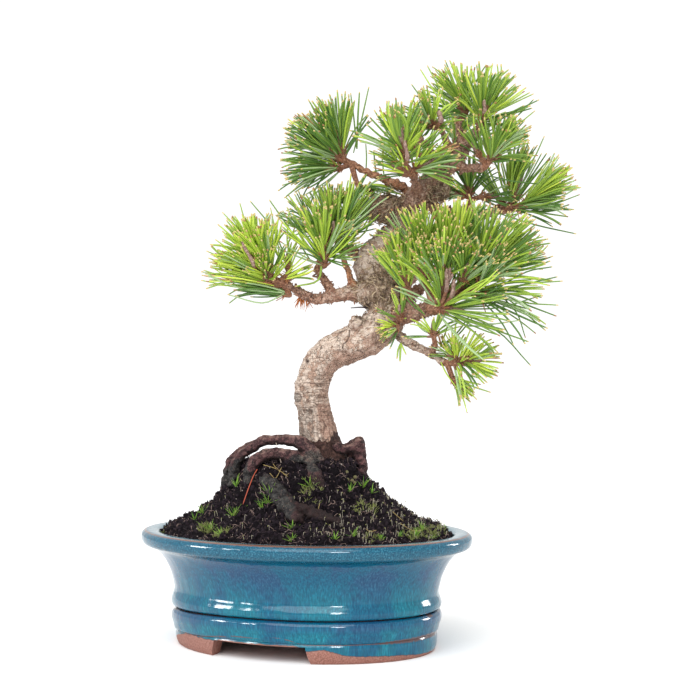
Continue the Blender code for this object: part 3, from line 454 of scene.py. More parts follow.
# Glazed stoneware: a thick teal glaze that breaks into fine vertical streaks as it runs,
# thins to brown on the rim's edge, and stops in a wavy line above the bare red-brown foot.
def glazedStoneware():
    made, tree, shader = newMaterial("glazedStoneware")
    streak = noiseNode(tree, (1.0, 1.0, 0.14), 0.0008, 3.0, 0.6)
    fleck = noiseNode(tree, (1.0, 1.0, 1.0), 0.0008, 2.0, 0.6)
    cloud = noiseNode(tree, (1.0, 1.0, 0.45), 0.018, 3.0)
    teal = colourRamp(tree, streak, [(0.28, "#003f5c"), (0.50, "#015270"), (0.68, "#086784"), (0.84, "#2a7f98")])
    violet = colourRamp(tree, streak, [(0.28, "#12365a"), (0.50, "#1c446a"), (0.68, "#2c587c"), (0.84, "#4f7796")])
    turquoise = colourRamp(tree, streak, [(0.28, "#005466"), (0.50, "#036c7e"), (0.68, "#148292"), (0.84, "#409ca8")])
    speckled = colourRamp(tree, fleck, [(0.34, "#053d55"), (0.52, "#0f546c"), (0.68, "#2d7088"), (0.80, "#6a9fae")])
    high = mathNode(tree, "MULTIPLY", attributeNode(tree, "upperWall"), between(tree, cloud, 0.44, 0.62))
    colour = mixColours(tree, mathNode(tree, "MULTIPLY", high, 0.75), teal, violet)
    low = mathNode(tree, "MULTIPLY", attributeNode(tree, "lowerWall"), between(tree, cloud, 0.62, 0.42))
    colour = mixColours(tree, mathNode(tree, "MULTIPLY", low, 0.8), colour, turquoise)
    colour = mixColours(tree, attributeNode(tree, "band"), colour, speckled)
    # Painted shadow: a dark teal band under the rim's overhang.
    colour = mixColours(tree, mathNode(tree, "MULTIPLY", attributeNode(tree, "underRimShade"), 0.7), colour, "#0a3d4a")
    # Painted reflection: the rim's inner lip turns pale grey-blue.
    colour = mixColours(tree, mathNode(tree, "MULTIPLY", attributeNode(tree, "innerRimReflection"), 0.75), colour, "#7f9aa4")
    ragged = mathNode(tree, "MULTIPLY", mathNode(tree, "SUBTRACT", fleck, 0.5), 0.9)
    worn = mathNode(tree, "ADD", attributeNode(tree, "worn"), ragged)
    colour = mixColours(tree, between(tree, worn, 0.42, 0.72), colour, "#6a4537")
    line = mathNode(tree, "ADD", attributeNode(tree, "groove"), ragged)
    colour = mixColours(tree, between(tree, line, 0.45, 0.85), colour, "#3a2a2a")
    brown = mathNode(tree, "ADD", attributeNode(tree, "brownLine"), ragged)
    colour = mixColours(tree, between(tree, brown, 0.5, 0.9), colour, "#5f4644")
    wave = mathNode(tree, "MULTIPLY", mathNode(tree, "SUBTRACT", noiseNode(tree, (1.0, 1.0, 0.3), 0.0035, 2.0), 0.5), 1.4)
    edge = mathNode(tree, "ADD", attributeNode(tree, "overFoot"), wave)
    clay = colourRamp(tree, fleck, [(0.3, "#73493e"), (0.52, "#926255"), (0.75, "#aa8074")])
    colour = mixColours(tree, between(tree, edge, 0.55, 0.15), colour, "#4a3b3a")
    colour = mixColours(tree, between(tree, edge, 0.12, -0.05), colour, clay)
    tree.links.new(colour, shader.inputs["Base Color"])
    bare = between(tree, edge, 0.12, -0.05)
    rough = mathNode(tree, "MULTIPLY_ADD", bare, 0.60)
    rough.node.inputs[2].default_value = 0.12
    tree.links.new(rough, shader.inputs["Roughness"])
    shader.inputs["IOR"].default_value = 1.42
    uneven = noiseNode(tree, (1.0, 1.0, 0.6), 0.009, 1.0)
    addBump(tree, shader, mathNode(tree, "ADD", uneven, mathNode(tree, "MULTIPLY", fleck, 0.02)), 0.0008, 0.45)
    return made


def makePot():
    rings = [ovalRing(out, height, pot["around"]) for out, height in potProfile()]
    made = ringSkin("pot_glazed", rings)
    for side in (-1, 1):
        cutAway(made, gapCutter(side))
    for place in (-pot["drainPlace"], pot["drainPlace"]):
        cutAway(made, drainCutter(place))
    points = pointsOf(made.data)
    share, degrees = ovalShare(points)
    height = points[:, 2]
    outer = share > 0.77
    hang = roundThePot(degrees, "droop")
    overFoot = (height - roundThePot(degrees, "glazeEdge")) * 1000
    setValues(made, "overFoot", np.where(height < 0.0125, np.where(outer, overFoot, -5.0), 5.0))
    front = np.clip(1.4 - np.abs((degrees + pot["turn"] + 90) % 360 - 360 * ((degrees + pot["turn"] + 90) % 360 > 180)) / 50, 0, 1)
    setValues(made, "worn", np.exp(-((share - 0.976 + 0.008 * front) / (0.0070 + 0.0130 * front)) ** 2) * (height > 0.0645))
    # Painted reflection on the rim's inner lip.
    setValues(made, "innerRimReflection", np.clip((0.968 - share) / 0.02, 0, 1) * (height > 0.060) * (share > 0.85))
    setValues(made, "band", np.clip((height - 0.0578) / 0.0008, 0, 1) * (share > 0.9))
    # Painted shadow: a band just under the rim's overhang, on the outer wall.
    setValues(made, "underRimShade", np.exp(-((height - 0.0572) / 0.0013) ** 2) * outer)
    violetLow = np.clip((height + hang - 0.0165) / 0.003, 0, 1) * (height + hang < 0.0236)
    upper = np.clip((height - 0.032) / 0.014, 0, 1) * (height < 0.0585)
    setValues(made, "upperWall", np.maximum(upper, 0.9 * violetLow))
    setValues(made, "lowerWall", np.clip((0.046 - height) / 0.016, 0, 1) * (1 - violetLow))
    setValues(made, "groove", np.exp(-((height + hang - 0.0238) / 0.0006) ** 2) * outer)
    middle = roundThePot(degrees, "brownLine")
    half = roundThePot(degrees, "brownLine", 2)
    chip = np.exp(-((degrees - 357) / 4) ** 2 - ((height - 0.0229) / 0.0014) ** 2)
    setValues(made, "brownLine", np.maximum(np.exp(-((height + hang * 1.2 - middle) / half) ** 2), chip) * outer)
    dressPiece(made, glazedStoneware(), "glazed_pot", "pot")
    made.data.set_sharp_from_angle(angle=math.radians(50.0))


makePot()
print("pot made")


# Growing and scattering

# Sweeps a round or flattened section along every line of a mesh, as thick as its girth says.
def sweepTree():
    tree = bpy.data.node_groups.new("sweepLines", "GeometryNodeTree")
    sockets = (("Geometry", "NodeSocketGeometry"), ("Sides", "NodeSocketInt"), ("Flatness", "NodeSocketFloat"))
    for name, kind in (*sockets, ("Material", "NodeSocketMaterial")):
        tree.interface.new_socket(name=name, in_out="INPUT", socket_type=kind)
    tree.interface.new_socket(name="Geometry", in_out="OUTPUT", socket_type="NodeSocketGeometry")
    entry = addNode(tree, "NodeGroupInput").outputs
    lines = addNode(tree, "GeometryNodeMeshToCurve", links={"Mesh": entry["Geometry"]})
    girth = addNode(tree, "GeometryNodeInputNamedAttribute", {"Name": "girth"}, data_type="FLOAT")
    sized = addNode(tree, "GeometryNodeSetCurveRadius", links={"Curve": lines.outputs[0], "Radius": girth.outputs["Attribute"]})
    section = addNode(tree, "GeometryNodeCurvePrimitiveCircle", {"Radius": 1.0}, {"Resolution": entry["Sides"]})
    scale = addNode(tree, "ShaderNodeCombineXYZ", {"X": 1.0, "Z": 1.0}, {"Y": entry["Flatness"]})
    flat = addNode(tree, "GeometryNodeTransform", links={"Geometry": section.outputs[0], "Scale": scale.outputs[0]})
    swept = addNode(tree, "GeometryNodeCurveToMesh", {"Fill Caps": True}, {"Curve": sized.outputs[0], "Profile Curve": flat.outputs[0]})
    if "Scale" in swept.inputs:
        radius = addNode(tree, "GeometryNodeInputRadius")
        tree.links.new(radius.outputs[0], swept.inputs["Scale"])
    closeTree(tree, swept.outputs[0], entry)
    return tree


def closeTree(tree, shape, entry):
    real = addNode(tree, "GeometryNodeRealizeInstances", links={"Geometry": shape})
    coated = addNode(tree, "GeometryNodeSetMaterial", links={"Geometry": real.outputs[0], "Material": entry["Material"]})
    addNode(tree, "NodeGroupOutput", links={"Geometry": coated.outputs[0]})


# Strews small angular crumbs over a mesh, as thick as its shown attribute allows.
def strewTree():
    tree = bpy.data.node_groups.new("strewCrumbs", "GeometryNodeTree")
    sockets = (("Geometry", "NodeSocketGeometry"), ("Density", "NodeSocketFloat"), ("Smallest", "NodeSocketVector"))
    sockets += (("Largest", "NodeSocketVector"), ("Seed", "NodeSocketInt"), ("Material", "NodeSocketMaterial"))
    for name, kind in sockets:
        tree.interface.new_socket(name=name, in_out="INPUT", socket_type=kind)
    tree.interface.new_socket(name="Geometry", in_out="OUTPUT", socket_type="NodeSocketGeometry")
    entry = addNode(tree, "NodeGroupInput").outputs
    shown = addNode(tree, "GeometryNodeInputNamedAttribute", {"Name": "shown"}, data_type="FLOAT")
    density = addNode(tree, "ShaderNodeMath", operation="MULTIPLY")
    tree.links.new(shown.outputs["Attribute"], density.inputs[0])
    tree.links.new(entry["Density"], density.inputs[1])
    links = {"Mesh": entry["Geometry"], "Density": density.outputs[0], "Seed": entry["Seed"]}
    spots = addNode(tree, "GeometryNodeDistributePointsOnFaces", links=links)
    crumb = addNode(tree, "GeometryNodeMeshIcoSphere", {"Radius": 1.0, "Subdivisions": 1})
    turn = addNode(tree, "FunctionNodeRandomValue", {"Min": (0, 0, 0), "Max": (6.3, 6.3, 6.3)}, {"Seed": entry["Seed"]}, data_type="FLOAT_VECTOR")
    size = addNode(tree, "FunctionNodeRandomValue", links={"Min": entry["Smallest"], "Max": entry["Largest"], "Seed": entry["Seed"]}, data_type="FLOAT_VECTOR")
    links = {"Points": spots.outputs["Points"], "Instance": crumb.outputs["Mesh"], "Rotation": turn.outputs["Value"], "Scale": size.outputs["Value"]}
    strewn = addNode(tree, "GeometryNodeInstanceOnPoints", links=links)
    closeTree(tree, strewn.outputs[0], entry)
    return tree


def runTree(piece, tree, inputs):
    modifier = piece.modifiers.new("nodes", "NODES")
    modifier.node_group = tree
    for item in tree.interface.items_tree:
        if item.item_type == "SOCKET" and item.in_out == "INPUT" and item.name in inputs:
            modifier[item.identifier] = inputs[item.name]
    applyModifiers(piece)


sweepLines = sweepTree()
strewCrumbs = strewTree()


# One piece from many lines: each is an array of rows of x, y, z and girth.
def sweptPiece(name, lines, coat, slotName, sides=4, flatness=1.0, nodes=()):
    rows = np.vstack(lines)
    edges = []
    start = 0
    for line in lines:
        edges += [(start + k, start + k + 1) for k in range(len(line) - 1)]
        start += len(line)
    made = meshObject(name, [tuple(row) for row in rows[:, :3] + centreShift], [], edges)
    setValues(made, "girth", rows[:, 3])
    runTree(made, sweepLines, {"Sides": sides, "Flatness": flatness, "Material": coat})
    dressPiece(made, None, slotName, *nodes)
    print(name, len(made.data.polygons), "faces")
    return made


def headingWay(heading, tilt):
    turn, lean = math.radians(heading), math.radians(tilt)
    return np.array([math.cos(turn) * math.cos(lean), -math.sin(lean), math.sin(turn) * math.cos(lean)])


def unit(vector):
    return vector / np.linalg.norm(vector)


def crossWays(way):
    first = unit(np.cross(way, (0.0, 1.0, 0.0) if abs(way[1]) < 0.9 else (1.0, 0.0, 0.0)))
    return first, np.cross(way, first)


# Noise at each point, from -1 to 1, made of a few sizes in metres.
def noiseAt(points, size, octaves=3):
    return np.array([noise.fractal(Vector(p) / size, 1.0, 2.0, octaves, noise_basis="PERLIN_ORIGINAL") for p in points])


def searchTree(piece):
    mesh = piece.data
    return BVHTree.FromPolygons([tuple(p) for p in pointsOf(mesh)], [tuple(face.vertices) for face in mesh.polygons])


def plainCoat(name, hexColour, roughness=0.8, shine=0.3):
    made, _, shader = newMaterial(name)
    shader.inputs["Base Color"].default_value = linearColour(hexColour)
    shader.inputs["Roughness"].default_value = roughness
    shader.inputs["Specular IOR Level"].default_value = shine
    return made


# Soil

soil = {
    "voxel": 0.0011,
    "seed": 11,
    "heaps": [   # x, y, radius and height of loose peat piled against the roots
        (-0.0330, -0.0190, 0.0055, 0.0025), (-0.0225, -0.0245, 0.0060, 0.0022), (0.0040, -0.0350, 0.0060, 0.0022), (0.0180, -0.0370, 0.0065, 0.0020),
    ],
    "crumbs": [   # name, colour, crumbs to a square metre, smallest and largest half-sizes
        ("peatCrumb", "#130d13", 170000, (0.0003, 0.0003, 0.0003), (0.0011, 0.0008, 0.0007)),
        ("coarseCrumb", "#231b21", 44000, (0.0008, 0.0006, 0.0006), (0.0024, 0.0015, 0.0013)),
        ("barkCrumb", "#50413f", 40000, (0.0003, 0.0002, 0.0002), (0.0014, 0.0006, 0.0005)),
        ("paleCrumb", "#a79c94", 15000, (0.0002, 0.0002, 0.0002), (0.0007, 0.0004, 0.0004)),
        ("peatSpike", "#261f26", 90000, (0.0009, 0.0002, 0.0002), (0.0031, 0.0004, 0.0003)),
        ("brownSpike", "#625151", 26000, (0.0007, 0.0001, 0.0001), (0.0027, 0.0003, 0.0003)),
    ],
    "tufts": [   # x, y, height of the star-shaped tufts of green
        (-0.0394, -0.0137, 0.0060), (-0.0389, -0.0288, 0.0070), (-0.0233, -0.0332, 0.0050), (-0.0189, -0.0306, 0.0068),
        (-0.0398, -0.0315, 0.0062), (-0.0199, -0.0339, 0.0058), (0.0037, -0.0300, 0.0068), (0.0264, -0.0257, 0.0052),
        (0.0338, -0.0211, 0.0062), (0.0390, -0.0207, 0.0046), (-0.0591, -0.0061, 0.0060), (-0.0632, -0.0121, 0.0064),
        (-0.0525, -0.0359, 0.0058), (-0.0447, -0.0485, 0.0050), (-0.0057, -0.0526, 0.0054), (-0.0052, -0.0648, 0.0044),
        (0.0182, -0.0674, 0.0040), (0.0280, -0.0629, 0.0046), (0.0434, -0.0625, 0.0034), (0.0667, -0.0424, 0.0056),
        (0.0812, -0.0144, 0.0040), (0.0712, -0.0418, 0.0054), (0.0624, -0.0503, 0.0050), (0.0540, -0.0546, 0.0036),
    ],
    "moss": [    # x, y, radius and count of leaves of the yellow-green patches
        (0.0312, -0.0360, 0.0040, 26), (0.0385, -0.0340, 0.0040, 26), (0.0600, -0.0500, 0.0050, 40),
        (0.0660, -0.0440, 0.0050, 42), (0.0725, -0.0360, 0.0050, 38), (0.0780, -0.0240, 0.0040, 26),
        (-0.0545, -0.0345, 0.0050, 46), (-0.0452, -0.0450, 0.0050, 46), (-0.0811, -0.0024, 0.0022, 12),
        (0.0040, -0.0310, 0.0050, 34), (0.0400, -0.0640, 0.0050, 26), (0.0060, -0.0350, 0.0060, 26),
    ],
    "stalks": 330,
    "litter": 1900,
    "pebbles": [   # x, y and half-size
        (0.0244, -0.0192, 0.0014), (0.0250, -0.0217, 0.0012), (0.0293, -0.0183, 0.0013), (0.0275, -0.0212, 0.0013), (0.0290, -0.0218, 0.0010),
    ],
}


# Damp peat: near-black brown fibres and crumbs, matt all over.
def dampPeat():
    made, tree, shader = newMaterial("dampPeat")
    grain = noiseNode(tree, (1.0, 1.0, 1.0), 0.0013, 4.0, 0.7)
    colour = colourRamp(tree, grain, [(0.35, "#050305"), (0.56, "#151014"), (0.76, "#32282b")])
    tree.links.new(colour, shader.inputs["Base Color"])
    shader.inputs["Roughness"].default_value = 0.95
    shader.inputs["Specular IOR Level"].default_value = 0.1
    addBump(tree, shader, grain, 0.0008)
    return made


def makeSoil():
    made = remeshedNodes("soil_peat", ["soil"], soil["voxel"], 0.0, 2)
    points = pointsOf(made.data)
    shown = points[:, 2] > 0.0630
    lift = np.zeros(len(points))
    lift[shown] = 0.0001 + 0.0021 * noiseAt(points[shown], 0.0080, 3) + 0.0020 * noiseAt(points[shown], 0.0028, 2)
    local = points - centreShift
    for x, y, radius, height in soil["heaps"]:
        lift[shown] += height * np.exp(-((local[shown, 0] - x) ** 2 + (local[shown, 1] - y) ** 2) / radius ** 2)
    moved = points + normalsOf(made.data) * lift[:, None]
    made.data.vertices.foreach_set("co", moved.astype(np.float32).ravel())
    made.data.update()
    setValues(made, "shown", (points[:, 2] > 0.0645) * (normalsOf(made.data)[:, 2] > 0.15))
    for k, (name, hexColour, density, smallest, largest) in enumerate(soil["crumbs"]):
        crumbs = bpy.data.objects.new("soil_" + name, made.data.copy())
        bpy.context.scene.collection.objects.link(crumbs)
        inputs = {"Density": density, "Smallest": smallest, "Largest": largest, "Seed": k, "Material": plainCoat(name, hexColour, 0.95, 0.12)}
        runTree(crumbs, strewCrumbs, inputs)
        dressPiece(crumbs, None, "peat")
        print(crumbs.name, len(crumbs.data.polygons), "faces")
    dressPiece(made, dampPeat(), "peat", "soil")
    return made


soilPiece = makeSoil()
mound = searchTree(soilPiece)


# The mound's surface and its outward way above a place, both from the pot's middle. Beyond
# the mound it is the nearest place on its rim.
def onMound(x, y):
    above = Vector((x, y, 0.2)) + potCentre
    found = mound.ray_cast(above, Vector((0.0, 0.0, -1.0)))
    if found[0] is None:
        found = mound.find_nearest(Vector((above.x, above.y, 0.066)))
    return np.array(found[0]) - centreShift, np.array(found[1])


# Narrow leaves that rise from one place and bend outward.
def leafTuft(x, y, height, count, spread, chance, width=1.0):
    foot, outward = onMound(x, y)
    leaves = []
    for _ in range(count):
        turn = chance.uniform(0, 2 * math.pi)
        lean = spread * chance.uniform(0.0, 1.0)
        sideways = np.array([math.cos(turn), math.sin(turn), 0.0])
        upward = unit(np.array([0.0, -0.25, 1.0]) + 0.35 * outward)
        length = height * chance.uniform(0.4, 1.1)
        steps = np.array([0.0, 0.35, 0.7, 1.0])[:, None]
        line = foot - upward * 0.0004 + (upward * math.cos(lean) + sideways * math.sin(lean)) * steps * length
        line = line + sideways * (0.14 * length * steps ** 2)
        leaves.append(np.column_stack([line, np.array([0.00017, 0.00026, 0.00020, 0.00005]) * width]))
    return leaves


# Thin things that lie on the mound, run over it and lift off a little at both ends.
def lyingLine(route, girth, lift):
    stations = []
    for k, (x, y) in enumerate(route):
        place, outward = onMound(x, y)
        raised = lift * (1.0 + 0.8 * (k in (0, len(route) - 1)))
        stations.append((*(place + outward * raised), girth))
    line = smoothLine(stations, 5)
    line[-1, 3] = girth * 0.4
    return line


def growOnSoil():
    chance = np.random.default_rng(soil["seed"])
    grown = {"tufts": [], "darkTufts": [], "moss": [], "stalks": [], "heads": [], "litter": [], "brownLitter": [], "rootlets": [], "pebbles": []}
    for x, y, height in soil["tufts"]:
        grown["tufts"] += leafTuft(x, y, height * 1.40, 8, 1.3, chance, 0.85)
        grown["darkTufts"] += leafTuft(x, y, height * 1.20, 6, 1.4, chance, 0.8)
        grown["moss"] += leafTuft(x, y, height * 0.9, 3, 1.2, chance, 0.7)
        if x > 0.05:
            grown["moss"] += leafTuft(x + 0.001, y, height * 0.7, 8, 1.2, chance, 0.8)
    for x, y, radius, count in soil["moss"]:
        for _ in range(count):
            turn, out = chance.uniform(0, 2 * math.pi), radius * math.sqrt(chance.random())
            grown["moss"] += leafTuft(x + out * math.cos(turn), y + out * math.sin(turn), chance.uniform(0.0014, 0.0046), 3, 1.0, chance, 0.75)
    while len(grown["stalks"]) < soil["stalks"]:
        x, y = chance.uniform(-0.055, 0.085), chance.uniform(-0.070, 0.02)
        place, outward = onMound(x, y)
        if x < 0.0 and chance.random() < 0.75 or not 0.0655 < place[2] < 0.100 - 0.02 * chance.random():
            continue
        length = chance.uniform(0.0014, 0.0038)
        turn = chance.uniform(0, 2 * math.pi)
        hook = np.array([math.cos(turn), math.sin(turn), 0.0]) * length * 0.28
        lean = chance.normal(0.0, 0.12, 3) * length
        steps = [place - outward * 0.0005, place + lean * 0.5 + np.array([0, 0, length * 0.6]), place + lean + np.array([0, 0, length])]
        steps.append(steps[-1] + hook - np.array([0, 0, length * 0.12]))
        grown["stalks"].append(np.column_stack([steps, [0.00012, 0.00011, 0.00011, 0.00009]]))
        if chance.random() < 0.3:
            head = steps[-1]
            grown["heads"].append(np.array([(*(head - (0, 0, 0.0003)), 0.0001), (*head, 0.00026), (*(head + (0, 0, 0.0004)), 0.0001)]))
    while len(grown["litter"]) + len(grown["brownLitter"]) < soil["litter"]:
        x, y = chance.uniform(-0.08, 0.085), chance.uniform(-0.07, 0.065)
        place, outward = onMound(x, y)
        if place[2] < 0.0652:
            continue
        way = unit(chance.normal(0.0, 1.0, 3))
        way = unit(way - outward * (way @ outward) * 0.7 + outward * 0.15)
        half = chance.uniform(0.0010, 0.0034)
        bow = outward * half * 0.35 + np.cross(outward, way) * half * chance.normal(0.0, 0.3)
        line = [place - way * half - bow * 0.6, place + bow, place + way * half - bow * 0.2]
        kind = "brownLitter" if chance.random() < 0.3 else "litter"
        grown[kind].append(np.column_stack([line, np.array([0.6, 1.0, 0.5]) * chance.uniform(0.00014, 0.00028)]))
    for route in (
        [(-0.0216, -0.0222), (-0.0165, -0.0226), (-0.0112, -0.0245), (-0.0072, -0.0251)],
        [(-0.0205, -0.0235), (-0.0164, -0.0246), (-0.0130, -0.0236)],
        [(-0.0190, -0.0215), (-0.0150, -0.0232), (-0.0095, -0.0236)],
        [(0.0560, -0.0440), (0.0610, -0.0470), (0.0670, -0.0440)],
        [(0.0070, -0.0395), (0.0085, -0.0420), (0.0110, -0.0440)], [(-0.0055, -0.0400), (-0.0062, -0.0430), (-0.0080, -0.0455)],
        [(0.0330, -0.0560), (0.0375, -0.0585), (0.0420, -0.0580)], [(0.0500, -0.0300), (0.0540, -0.0335), (0.0560, -0.0380)],
    ):
        grown["rootlets"].append(lyingLine(route, 0.00018, 0.0016))
    for x, y, size in soil["pebbles"]:
        place, _ = onMound(x, y)
        shares = np.array([-1.0, -0.7, 0.0, 0.7, 1.0])
        line = place + np.array([0, 0, size * 0.3]) + np.array([0.4, 0.0, 0.9]) * (shares * size)[:, None]
        grown["pebbles"].append(np.column_stack([line, size * np.array([0.1, 0.75, 1.0, 0.7, 0.1])]))
    return grown


green = growOnSoil()
sweptPiece("star_tufts", green["tufts"], plainCoat("youngGrassGreen", "#8dba42", 0.55), "peat", 4, 0.5)
sweptPiece("dark_tufts", green["darkTufts"], plainCoat("darkGrassGreen", "#5b8a34", 0.55), "peat", 4, 0.5)
sweptPiece("moss_leaves", green["moss"], plainCoat("yellowGreenMoss", "#929a58", 0.7), "peat", 3, 0.6)
sweptPiece("moss_stalks", green["stalks"], plainCoat("driedMossStalk", "#c4bca6", 0.8), "peat", 3)
sweptPiece("moss_heads", green["heads"], plainCoat("mossCapsule", "#8c8d4a", 0.7), "peat", 4)
sweptPiece("peat_fibres", green["litter"], plainCoat("peatFibre", "#352c30", 0.9, 0.15), "peat", 3)
sweptPiece("brown_fibres", green["brownLitter"], plainCoat("brownPeatFibre", "#857169", 0.9, 0.2), "peat", 3)
sweptPiece("rootlets", green["rootlets"], plainCoat("paleRootlet", "#a08a58", 0.8), "peat", 4)
sweptPiece("pebbles", green["pebbles"], plainCoat("oliveStone", "#5f5a3a", 0.7), "peat", 7)
deadNeedle = lyingLine([(-0.0259, -0.0181), (-0.0274, -0.0216), (-0.0301, -0.0243), (-0.0349, -0.0282)], 0.00040, 0.0016)
sweptPiece("dead_needle", [deadNeedle], plainCoat("redBrownDeadNeedle", "#a8482f", 0.5), "needles", 6, 0.7)
print("soil made")


# Wood

wood = {
    "voxel": 0.00062,
    "grow": 0.00020,
    "collar": 0.1186,      # height at which the trunk's bark gives way to dark root
    "burls": [   # middle and half-size of the dark fibrous swellings
        ((0.0450, -0.0045, 0.2055), 0.0150),
        ((0.0475, 0.0030, 0.2550), 0.0130),
        ((0.0785, -0.0020, 0.2655), 0.0078),
        ((0.0305, -0.0150, 0.1875), 0.0052),
    ],
    # How brown and scaly, and how orange, the bark of a bough is. The rest have the first pair.
    "tones": {"other": (0.85, 0.15), "bough_low_left": (0.50, 0.14), "bough_inner_left": (0.30, 0.85), "bough_mid_left": (0.85, 0.30), "bough_low_right": (0.36, 0.08), "bough_upper_left": (0.60, 0.62)},
    "cracks": [   # x and z along each crack seen from the front, then its half-width and strength
        ([(0.0262, 0.1832), (0.0260, 0.1800), (0.0246, 0.1770), (0.0222, 0.1752), (0.0226, 0.1722)], 0.00030, 0.9),
        ([(0.0250, 0.1846), (0.0228, 0.1832), (0.0205, 0.1822)], 0.00024, 0.7),
        ([(0.0419, 0.1812), (0.0411, 0.1774), (0.0415, 0.1750)], 0.00028, 0.7),
        ([(0.0112, 0.1672), (0.0134, 0.1640), (0.0150, 0.1632)], 0.00018, 0.5),
        ([(0.0100, 0.1660), (0.0120, 0.1632)], 0.00016, 0.45),
        ([(0.0044, 0.1576), (0.0095, 0.1547), (0.0118, 0.1540)], 0.00018, 0.5),
        ([(0.0046, 0.1428), (0.0090, 0.1424), (0.0137, 0.1427)], 0.00018, 0.5),
        ([(0.0056, 0.1401), (0.0072, 0.1339), (0.0072, 0.1224)], 0.00022, 0.6),
        ([(0.0320, 0.1905), (0.0350, 0.1945), (0.0375, 0.1990)], 0.00100, 0.8),
    ],
    "flap": ((0.0270, 0.1895), 0.0050),    # a rough flap of bark that stands up from the bend
    "mossy": [   # x, z and radius of the places on the roots that are grey-green
        (0.0040, 0.1080, 0.0060), (-0.0020, 0.1075, 0.0050), (-0.0215, 0.0965, 0.0050), (-0.0370, 0.1030, 0.0050), (-0.0170, 0.0930, 0.0040),
    ],
    "dents": [   # x, z, radius and depth of hollows and swellings of the right root knot
        (0.0232, 0.1190, 0.0028, -0.0020), (0.0320, 0.1190, 0.0030, 0.0007), (0.0365, 0.1200, 0.0020, -0.0014),
    ],
    "scar": ((-0.0044, 0.1443), 0.0026),
    "pit": ((0.0017, 0.1656), 0.0011),
    "scales": 1500,
    "flakes": 420,
    "fibres": 760,
    "seed": 5,
}


